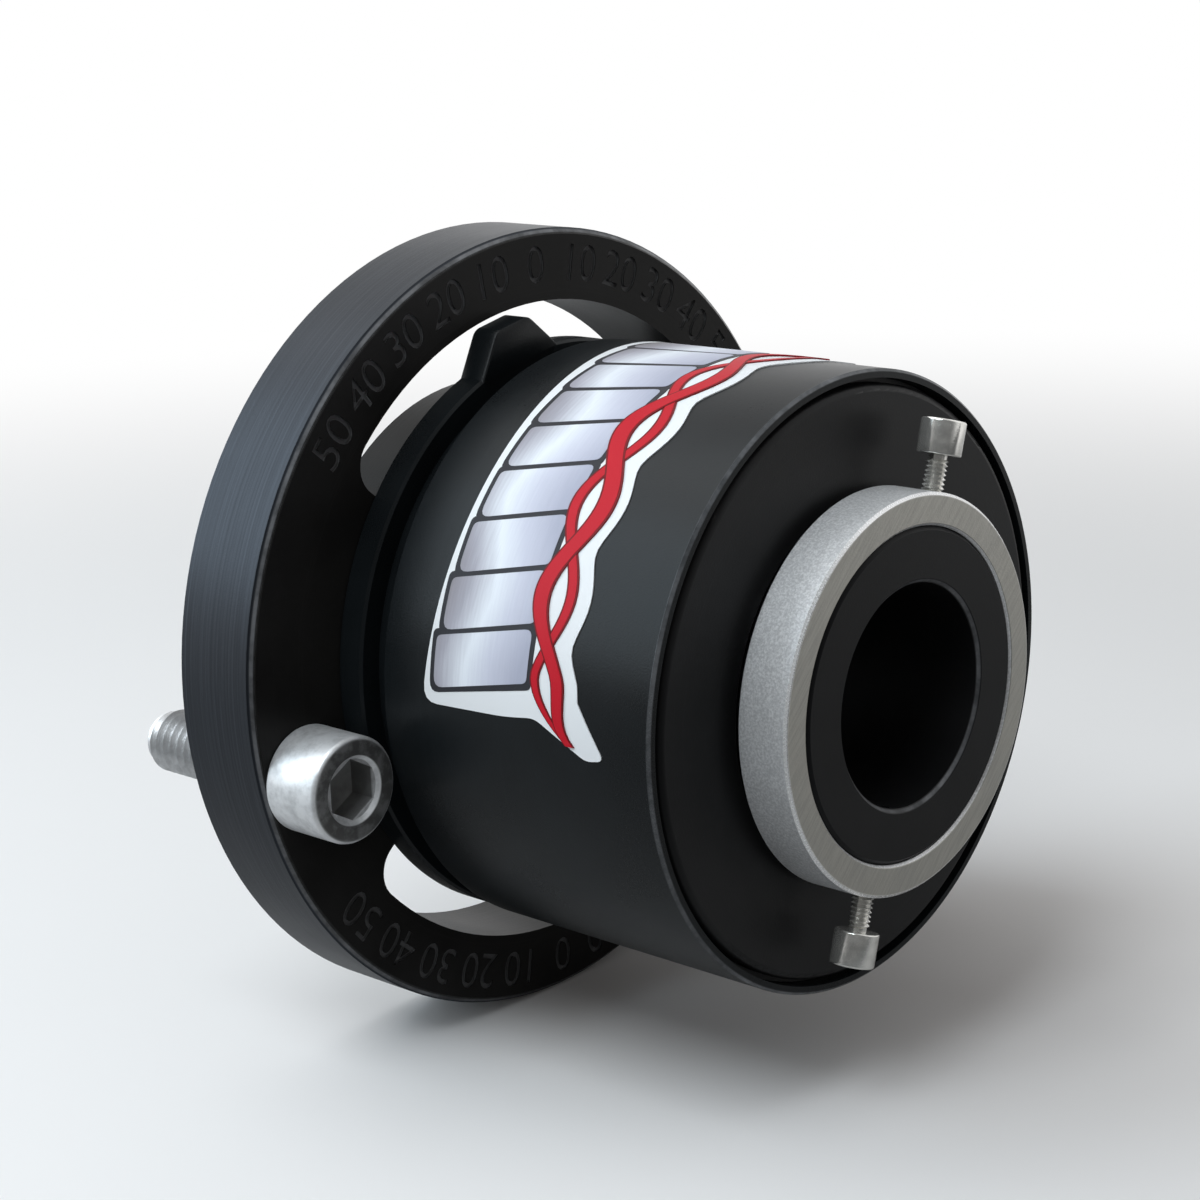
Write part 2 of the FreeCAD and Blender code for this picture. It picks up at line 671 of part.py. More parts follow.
def make_cap_cord_ring():
    """O-ring in the cap's groove, against the housing's wall."""
    section = size.cord_ring_section / 2
    torus = doc.addObject("Part::Torus", "cap_o_ring")
    torus.Label = "cap_o_ring"
    place_along = cap_floor - size.cord_groove_setback - size.cord_groove_width / 2
    torus.setExpression("Radius1", (cavity_radius - section).text)
    torus.setExpression("Radius2", section.text)
    torus.Placement = Placement(Vector(place_along.value, 0, 0), Rotation(Vector(0, 1, 0), 90))
    torus.setExpression("Placement.Base.x", place_along.text)
    subparts.append(torus)


def make_lead_grommet():
    """Bush with a rounded rim, through the housing wall on the side away from the view."""
    grommet_radius, rim_radius, seat = grommet_sizes()
    top = seat + size.grommet_rim_height
    rim_edge = size.grommet_rim_height * RIM_EDGE
    neck_bottom = cavity_radius - size.edge_break
    body = turned("lead_grommet", [
        (neck_bottom, size.grommet_hole_radius), (neck_bottom, grommet_radius),
        (seat, grommet_radius), (seat, rim_radius),
        (top - rim_edge, rim_radius), (top, rim_radius - rim_edge),
        (top, size.grommet_hole_radius),
    ], about="V_Axis")
    swing(body, size.grommet_angle)
    place(body, neck_front + size.grommet_setback)


def make_rear_seal():
    """Seal in the spigot's bore, round the sleeve."""
    back = sleeve_back + size.seal_setback
    washer("rear_seal", back, back + size.seal_width, sleeve_radius + size.seal_gap,
           spigot_bore_radius)


def make_brush_set(letter, angle):
    """A holder on the housing's wall, and its wires, which lie in the contact rings' grooves."""
    first_wire = stack_back + size.insulator_width + contact_width / 2
    holder = new_body(f"brush_holder_{letter}")
    block = new_sketch(holder, "YZ_Plane", stack_back)
    draw_sector(block, insulator_radius + size.holder_clearance, cavity_radius,
                size.holder_first_angle, size.holder_last_angle)
    push(holder, block, "PartDesign::Pad", stack_front - stack_back)
    socket = new_sketch(holder, "XZ_Plane", -size.brush_overrun)
    draw_circle(socket, first_wire, wire_height, size.brush_radius)
    hole = push(holder, socket, "PartDesign::Pocket", wire_reach - size.brush_overrun)
    repeat_along(holder, hole, size.contact_count, contact_pitch)
    swing(holder, angle)
    wires = new_body(f"brush_wires_{letter}")
    wires.AllowCompound = True
    section = new_sketch(wires, "XZ_Plane", size.brush_overrun)
    draw_circle(section, first_wire, wire_height, size.brush_radius)
    wire = push(wires, section, "PartDesign::Pad", wire_reach + size.brush_overrun, reverse=True)
    repeat_along(wires, wire, size.contact_count, contact_pitch)
    swing(wires, angle)


# Bearings

def make_bearing(prefix, back):
    """Deep-groove ball bearing: two races with ball tracks, balls, and a cage with round pockets."""
    front = back + size.bearing_width
    middle = back + size.bearing_width / 2
    pitch_radius = (inner_race_radius + outer_race_radius) / 2
    pocket_radius = size.ball_radius + size.running_gap
    for side, inner, outer in (("inner", sleeve_radius, inner_race_radius),
                               ("outer", outer_race_radius, bearing_radius)):
        race = washer(f"{prefix}_bearing_{side}_race", back, front, inner, outer)
        track = new_sketch(race, "XZ_Plane")
        draw_circle(track, middle, pitch_radius, pocket_radius)
        groove = race.newObject("PartDesign::Groove", f"{race.Label}_track")
        groove.Profile = track
        groove.ReferenceAxis = (track, ["H_Axis"])
        groove.Angle = 360.0
    make_cage(f"{prefix}_ball_cage", middle, pocket_radius)
    balls = new_body(f"{prefix}_balls")
    balls.AllowCompound = True
    ball = balls.newObject("PartDesign::AdditiveSphere", f"{prefix}_ball")
    ball.Radius = size.ball_radius.value
    ball.setExpression("Radius", size.ball_radius.text)
    ball.AttachmentSupport = [(origin_feature(balls, "XY_Plane"), "")]
    ball.MapMode = "FlatFace"
    ball.AttachmentOffset = Placement(Vector(middle.value, 0, pitch_radius.value), Rotation())
    ball.setExpression("AttachmentOffset.Base.x", middle.text)
    ball.setExpression("AttachmentOffset.Base.z", pitch_radius.text)
    repeat_round(balls, ball, size.ball_count)


def make_cage(label, middle, pocket_radius):
    """Ball cage, with a drilled pocket for each ball."""
    half = size.cage_width / 2
    cage = washer(label, middle - half, middle + half, ball_circle_radius - size.cage_wall / 2,
                  ball_circle_radius + size.cage_wall / 2)
    sketch = new_sketch(cage, "XY_Plane", sleeve_radius)
    draw_circle(sketch, middle, ZERO, pocket_radius)
    pocket = push(cage, sketch, "PartDesign::Pocket", bearing_radius - sleeve_radius,
                  reverse=True)
    repeat_round(cage, pocket, size.ball_count)


# Rotor

def make_rotor_sleeve():
    """Long sleeve on the shaft, with a clip groove, two lead channels and the screw holes."""
    edge = size.edge_break
    clip_back = rear_bearing_back - size.clip_width
    clip_floor = sleeve_radius - size.clip_seat
    body = turned("rotor_sleeve", [
        (sleeve_back, size.bore_radius + edge), (sleeve_back, sleeve_radius - edge),
        (sleeve_back + edge, sleeve_radius), (clip_back, sleeve_radius),
        (clip_back, clip_floor), (rear_bearing_back, clip_floor),
        (rear_bearing_back, sleeve_radius), (collar_front - edge, sleeve_radius),
        (collar_front, sleeve_radius - edge), (collar_front, size.bore_radius + edge),
        (collar_front - edge, size.bore_radius), (sleeve_back + edge, size.bore_radius),
    ])
    channel = new_sketch(body, "YZ_Plane", sleeve_back)
    half = size.lead_channel_width / 2
    draw_box(channel, sleeve_radius - size.lead_channel_depth, sleeve_radius + edge,
             -half, half)
    cut = push(body, channel, "PartDesign::Pocket", stack_front - sleeve_back, reverse=True)
    repeat_round(body, cut, as_size(2))
    drill_for_set_screws(body)


def drill_for_set_screws(body):
    """One radial hole straight through, for both clamping screws."""
    sketch = new_sketch(body, "XY_Plane")
    turned_out = Rotation(Vector(-1, 0, 0), size.set_screw_angle.value)
    sketch.AttachmentOffset = Placement(Vector(), turned_out)
    sketch.setExpression("AttachmentOffset.Rotation.Angle", size.set_screw_angle.text)
    draw_circle(sketch, set_screw_place, ZERO, size.set_screw_radius)
    hole = push(body, sketch, "PartDesign::Pocket")
    hole.Midplane = True


def make_rotor_collar():
    """Drive collar on the sleeve's front end."""
    edge = size.collar_edge_break
    body = turned("rotor_collar", [
        (collar_back, sleeve_radius), (collar_back, collar_radius - edge),
        (collar_back + edge, collar_radius), (collar_front - edge, collar_radius),
        (collar_front, collar_radius - edge), (collar_front, sleeve_radius + edge),
        (collar_front - edge, sleeve_radius),
    ])
    drill_for_set_screws(body)


def make_set_screws():
    """Two radial cap screws through the collar and the sleeve, which clamp the shaft."""
    seat = collar_radius + size.set_screw_standoff
    tip = size.bore_radius + size.set_screw_end_gap
    top = seat + size.set_screw_head_height
    shank = size.set_screw_radius
    head = size.set_screw_head_radius
    edge = head * HEAD_EDGE
    tip_edge = shank * TIP_EDGE
    for label, angle in (("set_screw_top", size.set_screw_angle),
                         ("set_screw_bottom", size.set_screw_angle + HALF_TURN)):
        body = turned(label, [
            (tip, ZERO), (tip, shank - tip_edge), (tip + tip_edge, shank), (seat, shank), (seat, head),
            (top - edge, head), (top, head - edge), (top, ZERO),
        ], about="V_Axis")
        socket = new_sketch(body, "XY_Plane", top)
        draw_hexagon(socket, size.set_screw_hex_width)
        push(body, socket, "PartDesign::Pocket", size.set_screw_head_height * SOCKET_DEPTH)
        swing(body, angle)
        place(body, set_screw_place)


def make_retaining_clip():
    """Open ring in the sleeve's groove, behind the rear bearing."""
    body = washer("retaining_clip", rear_bearing_back - size.clip_width, rear_bearing_back,
                  sleeve_radius - size.clip_seat, clip_radius)
    gap = new_sketch(body, "YZ_Plane", rear_bearing_back)
    half = size.clip_gap / 2
    draw_box(gap, -half, half, -clip_radius * CUT_OVERRUN, -size.bore_radius)
    push(body, gap, "PartDesign::Pocket")


def make_ring_carrier():
    """Insulated barrel between the two inner races, with a flange behind the contact rings."""
    turned("ring_carrier", [
        (rear_bearing_front, sleeve_radius), (rear_bearing_front, nose_radius),
        (carrier_flange_back, nose_radius), (carrier_flange_back, carrier_flange_radius),
        (stack_back, carrier_flange_radius), (stack_back, carrier_radius),
        (clamp_front, carrier_radius), (clamp_front, nose_radius),
        (front_bearing_back, nose_radius), (front_bearing_back, sleeve_radius),
    ])


def make_contact_stack():
    """Grooved contact rings between insulators, held by the clamp ring."""
    depth = size.contact_groove_depth
    for number in range(int(size.contact_count.value) + 1):
        back = stack_back + contact_pitch * number
        front = back + size.insulator_width
        washer(f"insulator_{number + 1}", back, front, carrier_radius, insulator_radius)
        if number == int(size.contact_count.value):
            break
        middle = front + contact_width / 2
        turned(f"contact_ring_{number + 1}", [
            (front, carrier_radius), (front, contact_radius),
            (middle - depth, contact_radius), (middle, contact_radius - depth),
            (middle + depth, contact_radius), (front + contact_width, contact_radius),
            (front + contact_width, carrier_radius),
        ])
    washer("stack_clamp_ring", stack_front, clamp_front, carrier_radius, contact_radius)


def check_document():
    """Stop if any feature failed or any sub-part has no valid shape."""
    for item in doc.Objects:
        faults = {"Invalid", "Error"} & set(item.State)
        if faults:
            raise RuntimeError(f"{item.Label} is {faults}")
    for item in subparts:
        if item.Shape.isNull() or not item.Shape.isValid() or not item.Shape.Solids:
            raise RuntimeError(f"{item.Label} has no valid shape")


make_mounting_ring()
make_bracket_bolts()
make_flange_screws()
make_housing()
make_front_cap()
make_cap_cord_ring()
make_lead_grommet()
make_rear_seal()
make_brush_set("a", size.brush_angle)
make_brush_set("b", size.brush_angle + HALF_TURN)
make_bearing("rear", rear_bearing_back)
make_bearing("front", front_bearing_back)
make_rotor_sleeve()
make_rotor_collar()
make_set_screws()
washer("collar_spacer", front_bearing_front, collar_back, sleeve_radius, spacer_radius)
make_retaining_clip()
make_ring_carrier()
make_contact_stack()

doc.recompute()
check_document()
os.makedirs("parts", exist_ok=True)
for item in subparts:
    item.Shape.exportStep(f"parts/{item.Label}.step")
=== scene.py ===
import math

import bmesh
import bpy
from mathutils import Matrix, Vector


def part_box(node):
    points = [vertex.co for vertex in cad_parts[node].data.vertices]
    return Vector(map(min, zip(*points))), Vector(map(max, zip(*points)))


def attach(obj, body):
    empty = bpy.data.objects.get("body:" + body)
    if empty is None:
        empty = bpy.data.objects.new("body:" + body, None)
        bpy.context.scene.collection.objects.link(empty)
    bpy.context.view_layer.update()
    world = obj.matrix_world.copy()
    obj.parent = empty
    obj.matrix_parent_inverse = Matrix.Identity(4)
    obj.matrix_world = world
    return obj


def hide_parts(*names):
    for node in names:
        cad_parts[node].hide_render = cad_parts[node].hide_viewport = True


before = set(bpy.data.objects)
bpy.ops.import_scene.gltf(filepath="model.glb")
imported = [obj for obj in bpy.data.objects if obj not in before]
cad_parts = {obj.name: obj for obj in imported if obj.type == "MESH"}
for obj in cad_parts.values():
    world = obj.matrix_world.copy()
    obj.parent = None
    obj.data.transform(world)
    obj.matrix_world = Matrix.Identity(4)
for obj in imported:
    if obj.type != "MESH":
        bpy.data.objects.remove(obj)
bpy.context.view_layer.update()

# Through-bore slip ring on its mounting ring. The shaft axis is X, the origin lies in the mounting
# ring's back face, +X points to the drive collar and +Z up. Clock angles count from +Z towards +Y.
# Lengths are in metres, and those written in millimetres are multiplied by MM.
MM = 0.001


# Sizes and places from the CAD model's boxes, to a tenth of a millimetre and of a degree

def reach(node, axis):
    """How far a CAD node reaches along an axis, 0 for X, 1 for Y and 2 for Z."""
    return round(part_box(node)[1][axis], 4)


def clock_middle(node):
    """The radius and the clock angle in degrees of the middle of a CAD node."""
    low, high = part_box(node)
    middle = (low + high) / 2
    angle = math.degrees(math.atan2(middle.y, middle.z)) % 360.0
    return round(math.hypot(middle.y, middle.z), 4), round(angle, 1)


RING_FRONT, RING_RADIUS = reach("mounting_ring", 0), reach("mounting_ring", 2)
HOUSING_FRONT, HOUSING_RADIUS = reach("housing", 0), reach("housing", 1)
COLLAR_FRONT, COLLAR_RADIUS = reach("rotor_collar", 0), reach("rotor_collar", 2)
SLEEVE_FRONT = reach("rotor_sleeve", 0)
BOLT_HEAD_HEIGHT = reach("bracket_bolt_left", 0) - RING_FRONT

# Sizes and places that the boxes don't give
BORE_RADIUS = 10.0 * MM
NUMBER_HEIGHT = 3.5 * MM
NUMBER_RADIUS = 34.6 * MM
ENGRAVED_BAND = (32.0 * MM, 37.6 * MM)
CLAMP_SCREW_ANGLES = {"set_screw_top": 17.0, "set_screw_bottom": 197.0}
CLAMP_SCREW_PLACE = 51.7 * MM
CLAMP_SCREW_SEAT = 21.1 * MM
GROMMET_ANGLE = 120.0
GROMMET_PLACE = 24.0 * MM
GROMMET_DRILLS = ((3.6 * MM, 27.5 * MM), (2.6 * MM, 24.0 * MM))
FROM_Z_TO_X = Matrix.Rotation(math.pi / 2, 4, "Y")


# Node trees, for materials and for Geometry Nodes

class Wire:
    """An output of a node. Maths written on it adds Math nodes, or Vector Math nodes on a vector."""

    def __init__(self, tree, socket):
        self.tree = tree
        self.socket = socket

    def node_of(self, operation, *values):
        kind = "ShaderNodeVectorMath" if self.socket.type == "VECTOR" else "ShaderNodeMath"
        return self.tree.node(kind, {"operation": operation}, values)

    def maths(self, operation, *others):
        """Any operation on this value and the others, by its name in Blender."""
        return self.node_of(operation, self, *others)

    def __add__(self, other):
        return self.maths("ADD", other)

    def __sub__(self, other):
        return self.maths("SUBTRACT", other)

    def __rsub__(self, other):
        return self.node_of("SUBTRACT", other, self)

    def __mul__(self, other):
        return self.maths("MULTIPLY", other)

    def __truediv__(self, other):
        return self.maths("DIVIDE", other)

    def __pow__(self, other):
        return self.maths("POWER", other)

    def __gt__(self, other):
        return self.maths("GREATER_THAN", other)

    def __lt__(self, other):
        return self.maths("LESS_THAN", other)

    __radd__ = __add__
    __rmul__ = __mul__

    def output(self, name):
        """Another output of the same node."""
        return Wire(self.tree, self.socket.node.outputs[name])

    def smooth(self, low, high):
        """0 below low and 1 above high, with a soft rise between them."""
        settings = {"interpolation_type": "SMOOTHSTEP"}
        sockets = {"Value": self, "From Min": low, "From Max": high}
        return self.tree.node("ShaderNodeMapRange", settings, sockets)


class Tree:
    """A node tree, whose nodes are added by type, settings and sockets."""

    def __init__(self, nodes):
        self.tree = nodes

    def node(self, kind, settings=None, sockets=None, output=None):
        node = self.tree.nodes.new(kind)
        for name, value in (settings or {}).items():
            if name == "stops":
                self.set_stops(node.color_ramp, value)
            else:
                setattr(node, name, value)
        if isinstance(sockets, dict):
            pairs = [(self.find(node, name), value) for name, value in sockets.items()]
        else:
            pairs = list(zip([s for s in node.inputs if s.enabled], sockets or ()))
        for socket, value in pairs:
            self.feed(socket, value)
        visible = [s for s in node.outputs if s.enabled]
        return Wire(self, node.outputs[output] if output else visible[0]) if visible else None

    @staticmethod
    def find(node, name):
        """The enabled input of that name."""
        return next(s for s in node.inputs if s.enabled and s.name == name)

    def feed(self, socket, value):
        if isinstance(value, Wire):
            self.tree.links.new(value.socket, socket)
        elif value is not None:
            socket.default_value = value

    @staticmethod
    def set_stops(ramp, stops):
        while len(ramp.elements) < len(stops):
            ramp.elements.new(1.0)
        for element, (place, colour) in zip(ramp.elements, stops):
            element.position = place
            element.color = colour

    def mix(self, factor, first, second):
        """A mix of two colours."""
        settings = {"data_type": "RGBA"}
        return self.node("ShaderNodeMix", settings, {"Factor": factor, "A": first, "B": second})

    def join(self, x=0.0, y=0.0, z=0.0):
        """A vector from its three parts."""
        return self.node("ShaderNodeCombineXYZ", sockets={"X": x, "Y": y, "Z": z})

    def split(self, vector):
        """The three parts of a vector."""
        x = self.node("ShaderNodeSeparateXYZ", sockets={"Vector": vector})
        return x, x.output("Y"), x.output("Z")

    def split_turned(self, place):
        """A place as the distance along the axis, the two across it, and the radius."""
        along, across, up = self.split(place)
        return along, across, up, (across * across + up * up) ** 0.5


class Finish(Tree):
    """A material. Its patterns are laid out on Object coordinates, in metres."""

    def __init__(self, name):
        self.material = bpy.data.materials.new(name)
        self.material.use_nodes = True
        super().__init__(self.material.node_tree)
        self.tree.nodes.clear()

    def place(self, centre=(0.0, 0.0, 0.0)):
        """The place on the object, counted from a centre."""
        here = self.node("ShaderNodeTexCoord", output="Object")
        return here - Vector(centre) if any(centre) else here

    def noise(self, vector, scale, detail=2.0, roughness=0.5, distortion=0.0):
        return self.node("ShaderNodeTexNoise", sockets={
            "Vector": vector, "Scale": scale, "Detail": detail, "Roughness": roughness,
            "Distortion": distortion})

    def bump(self, height, distance, strength=1.0, normal=None):
        return self.node("ShaderNodeBump", sockets={
            "Strength": strength, "Distance": distance, "Height": height, "Normal": normal})

    def finish(self, **sockets):
        """Close the material with a Principled shader, and return it."""
        named = {name.replace("_", " "): value for name, value in sockets.items()}
        shader = self.node("ShaderNodeBsdfPrincipled", sockets=named)
        self.node("ShaderNodeOutputMaterial", sockets={"Surface": shader})
        return self.material


def colour(red, green, blue, share=1.0):
    """An opaque colour, made darker or lighter by a share."""
    return (red * share, green * share, blue * share, 1.0)


# Finishes

def near_edges(along, radius, edges, width):
    """1 on the turned edges, which are (place along the axis, radius) pairs, and 0 away from them."""
    away = 1.0
    for edge_along, edge_radius in edges:
        gap = ((along - edge_along) ** 2.0 + (radius - edge_radius) ** 2.0) ** 0.5
        away = gap.smooth(width * 0.4, width) * away
    return 1.0 - away


def anodised(name, dye, roughness, grain, turning, level, edges=(), etched=None, sheen=None):
    """Black anodised aluminium: bead-blasted grain, turning marks round X, and edges lightened both as
    wear and as a painted highlight.

    Grain and turning are (size, depth) in metres. Etched is the (low, high) range of X in which the
    engraved floors of the band lie, whose dye is paler. Sheen is (radius, tint): from that radius
    outwards the turned metal shines through the dye.
    """
    finish = Finish(name)
    place = finish.place()
    along, _, _, radius = finish.split_turned(place)
    cloud = finish.noise(place, 90.0, 3.0)
    grain_size, grain_depth = grain
    grains = finish.noise(place, 1.0 / grain_size, 3.0, 0.6)
    turning_size, turning_depth = turning
    marks = finish.noise(finish.join(along, radius, cloud * 0.0004), 1.0 / turning_size, 3.0, 0.65)
    tone = finish.mix(cloud.smooth(0.3, 0.7), colour(*dye, 0.8), colour(*dye, 1.3))
    tone = finish.mix(marks.smooth(0.55, 0.8) * 0.35, tone, colour(*dye, 2.2))
    if etched:
        low, high = etched
        inner, outer = ENGRAVED_BAND
        floor = (along > low) * (along < high) * (radius > inner) * (radius < outer)
        tone = finish.mix(floor, tone, colour(0.11, 0.11, 0.112))
    metal = 0.0
    if sheen:
        sheen_radius, tint = sheen
        outside = radius.smooth(sheen_radius - 0.04 * MM, sheen_radius + 0.04 * MM)
        lines = finish.noise(finish.join(along, radius * 0.2, cloud * 0.0002), 5200.0, 3.0, 0.7)
        streak = finish.mix(lines.smooth(0.35, 0.8), colour(*tint, 0.85), colour(*tint, 1.4))
        tone = finish.mix(outside, tone, streak)
        metal = outside * 0.75
    if edges:
        # The edge band is painted lighter: partly wear, in patches, and partly a painted highlight
        # along the whole edge
        worn = finish.noise(place, 240.0, 4.0, 0.7).smooth(0.30, 0.75)
        wear_and_highlight = near_edges(along, radius, edges, 0.26 * MM) * (worn * 0.6 + 0.2)
        tone = finish.mix(wear_and_highlight * 0.65, tone, colour(0.38, 0.39, 0.41))
        metal = metal + wear_and_highlight * 0.6
    rough = roughness + (cloud - 0.5) * 0.16 + (grains - 0.5) * 0.12
    normal = finish.bump(grains, grain_depth)
    normal = finish.bump(marks, turning_depth, normal=normal)
    return finish.finish(Base_Color=tone, Roughness=rough, Metallic=metal, Normal=normal,
                         Specular_IOR_Level=level)


def blasted_aluminium(name):
    """The drive collar: bead blasted and clear anodised, with a fine sparkle and a drawn front face.
    The front face is painted darker as shade, and its front edge carries a painted highlight.
    """
    finish = Finish(name)
    place = finish.place()
    along, across, up, radius = finish.split_turned(place)
    speck = finish.noise(place, 4600.0, 3.0, 0.65)
    cloud = finish.noise(place, 160.0, 4.0)
    grain_line = finish.noise(finish.join(along, (across + up) * 0.06, (up - across) * 1.0),
                              3600.0, 3.0, 0.6)
    face = along > COLLAR_FRONT - 0.05 * MM
    side_tone = finish.mix(speck.smooth(0.35, 0.7), colour(0.66, 0.67, 0.68), colour(0.93, 0.94, 0.95))
    # Painted shade: the front face gets a darker tone than the side; its drawn grain lines are real
    shaded_face_tone = finish.mix(grain_line.smooth(0.3, 0.7), colour(0.36, 0.352, 0.322),
                           colour(0.44, 0.43, 0.392))
    tone = finish.mix(face, side_tone, shaded_face_tone)
    tone = finish.mix(cloud.smooth(0.35, 0.8) * 0.2, tone, colour(0.33, 0.33, 0.32))
    # Painted highlight: the front outer edge is painted near white and made smoother
    corner = (COLLAR_FRONT - 0.12 * MM, COLLAR_RADIUS - 0.12 * MM)
    painted_edge_highlight = near_edges(along, radius, [corner], 0.28 * MM)
    tone = finish.mix(painted_edge_highlight * 0.9, tone, colour(0.97, 0.97, 0.97))
    rough = 0.40 + (speck - 0.5) * 0.22 - painted_edge_highlight * 0.14
    normal = finish.bump(speck, 0.03 * MM, 0.7)
    normal = finish.bump(grain_line * face, 0.008 * MM, 0.5, normal)
    return finish.finish(Base_Color=tone, Roughness=rough, Metallic=0.45 + face * 0.35, Normal=normal)


def bright_steel(name, centre=(0.0, 0.0, 0.0), tint=(0.66, 0.655, 0.635), rough=0.24, end_face=None,
                 shine=1.0):
    """Stainless steel, turned about X through a centre: fine rings, scratches and dull spots.

    Less shine makes it satin. End_face is the place along X of a bolt head's face: the socket is
    painted darker as shade, the face is painted darker as a reflection of dark surroundings, and only
    the head is satin.
    """
    finish = Finish(name)
    here = finish.place(centre)
    along, across, up, radius = finish.split_turned(here)
    rings = finish.noise(finish.join(along, radius, 0.0), 5200.0, 3.0, 0.7)
    spots = finish.noise(here, 700.0, 4.0, 0.6)
    scratch = finish.noise(finish.join(along * 6.0, across, up * 0.4), 2400.0, 3.0, 0.7, 0.3)
    tone = finish.mix(spots.smooth(0.35, 0.75), colour(*tint), colour(*tint, 0.68))
    metal = shine
    if end_face:
        metal = 1.0 - (along > end_face - BOLT_HEAD_HEIGHT - 0.1 * MM) * (1.0 - shine)
        depth = end_face - along
        deep = depth.smooth(0.4 * MM, 0.6 * MM) * (depth < 4.0 * MM)
        # Painted shade: the socket's walls are painted darker
        socket = radius.smooth(3.0 * MM, 2.9 * MM) * deep
        tone = finish.mix(socket * 0.7, tone, colour(0.10, 0.098, 0.09))
        # Painted reflection: the head's end face is painted nearly black, as if it mirrored dark
        # surroundings
        end = along.smooth(end_face, end_face + 0.1 * MM) * (0.90 - spots.smooth(0.4, 0.7) * 0.3)
        tone = finish.mix(end, tone, colour(0.055, 0.054, 0.05))
    blur = rough + (spots - 0.45) * 0.20 + (rings - 0.5) * 0.10
    normal = finish.bump(rings, 0.012 * MM, 0.7)
    normal = finish.bump(scratch.smooth(0.6, 0.75), 0.008 * MM, 0.6, normal)
    return finish.finish(Base_Color=tone, Roughness=blur, Metallic=metal, Normal=normal)


def plated(name, tint, rough):
    """Turned and plated metal, such as the contact rings, with fine rings round X."""
    finish = Finish(name)
    place = finish.place()
    along, _, _, radius = finish.split_turned(place)
    rings = finish.noise(finish.join(along, radius, 0.0), 6000.0, 2.0, 0.6)
    cloud = finish.noise(place, 300.0, 3.0)
    tone = finish.mix(cloud.smooth(0.3, 0.75), colour(*tint), colour(*tint, 0.78))
    return finish.finish(Base_Color=tone, Roughness=rough + (rings - 0.5) * 0.12, Metallic=1.0,
                         Normal=finish.bump(rings, 0.006 * MM))


def moulded(name, tint, rough, speck_tint):
    """Moulded or laminated plastic with a faint grain and specks of filler."""
    finish = Finish(name)
    place = finish.place()
    grain = finish.noise(place, 4000.0, 3.0, 0.6)
    specks = finish.noise(place, 1500.0, 2.0, 0.7)
    tone = finish.mix(specks.smooth(0.58, 0.7) * 0.5, colour(*tint), colour(*speck_tint))
    return finish.finish(Base_Color=tone, Roughness=rough + (grain - 0.5) * 0.15, Metallic=0.0,
                         Normal=finish.bump(grain, 0.02 * MM))


def seal_rubber(name):
    """Matt black rubber with a powdery bloom."""
    finish = Finish(name)
    place = finish.place()
    bloom = finish.noise(place, 500.0, 4.0, 0.65)
    grain = finish.noise(place, 5000.0, 2.0, 0.6)
    tone = finish.mix(bloom.smooth(0.4, 0.75), colour(0.016, 0.016, 0.017), colour(0.045, 0.045, 0.046))
    return finish.finish(Base_Color=tone, Roughness=0.62 + (bloom - 0.5) * 0.2,
                         Normal=finish.bump(grain, 0.03 * MM), Specular_IOR_Level=0.35)


def label_print(name):
    """Printed vinyl: the mesh's own ink colour, with a metal shading where the mesh says so."""
    finish = Finish(name)
    ink = finish.node("ShaderNodeAttribute", {"attribute_name": "ink"}, output="Color")
    shading = finish.node("ShaderNodeAttribute", {"attribute_name": "shading"}, output="Fac")
    flat = finish.node("ShaderNodeUVMap", {"uv_map": "flat"})
    around, along, _ = finish.split(flat)
    grain = finish.noise(flat, 9.0, 3.0, 0.6)
    brush = finish.noise(finish.join(around * 0.08, along, 0.0), 4.0, 3.0)
    wave = (around * 0.37).maths("SINE") * 1.1
    metal = finish.node("ShaderNodeValToRGB", {"stops": [
        (0.0, colour(0.24, 0.225, 0.24)), (0.22, colour(0.38, 0.37, 0.42)),
        (0.48, colour(0.78, 0.81, 0.86)), (0.7, colour(0.58, 0.59, 0.68)),
        (1.0, colour(0.40, 0.41, 0.50))]},
        {"Fac": (along - BAR_BACK + wave) / 12.0 + brush * 0.12})
    tone = finish.mix(shading, ink, metal)
    tone = finish.mix(grain.smooth(0.45, 0.8) * 0.03, tone, colour(0.55, 0.55, 0.56))
    return finish.finish(Base_Color=tone, Roughness=0.42 + (grain - 0.5) * 0.12,
                         Normal=finish.bump(grain, 0.01 * MM), Specular_IOR_Level=0.12)


# Meshes

def clock_place(radius, angle, along=0.0):
    """A point at a place along the axis, a radius and a clock angle in degrees."""
    turn = math.radians(angle)
    return Vector((along, radius * math.sin(turn), radius * math.cos(turn)))


def clock_turn(angle):
    """A turn about the shaft axis, from the top to a clock angle in degrees."""
    return Matrix.Rotation(-math.radians(angle), 4, "X")


def as_mesh(name, shape):
    """A bmesh as a mesh, and the bmesh freed."""
    mesh = bpy.data.meshes.new(name)
    shape.to_mesh(mesh)
    shape.free()
    return mesh


def new_object(name, shape, material=None):
    """An object at the origin with the mesh or the bmesh given."""
    mesh = as_mesh(name, shape) if isinstance(shape, bmesh.types.BMesh) else shape
    thing = bpy.data.objects.new(name, mesh)
    bpy.context.scene.collection.objects.link(thing)
    if material:
        mesh.materials.clear()
        mesh.materials.append(material)
    return thing


def applied(thing):
    """The object's mesh with its modifiers, as a plain mesh, and the object removed."""
    graph = bpy.context.evaluated_depsgraph_get()
    mesh = bpy.data.meshes.new_from_object(thing.evaluated_get(graph))
    mesh.name = thing.name
    bpy.data.objects.remove(thing)
    return mesh


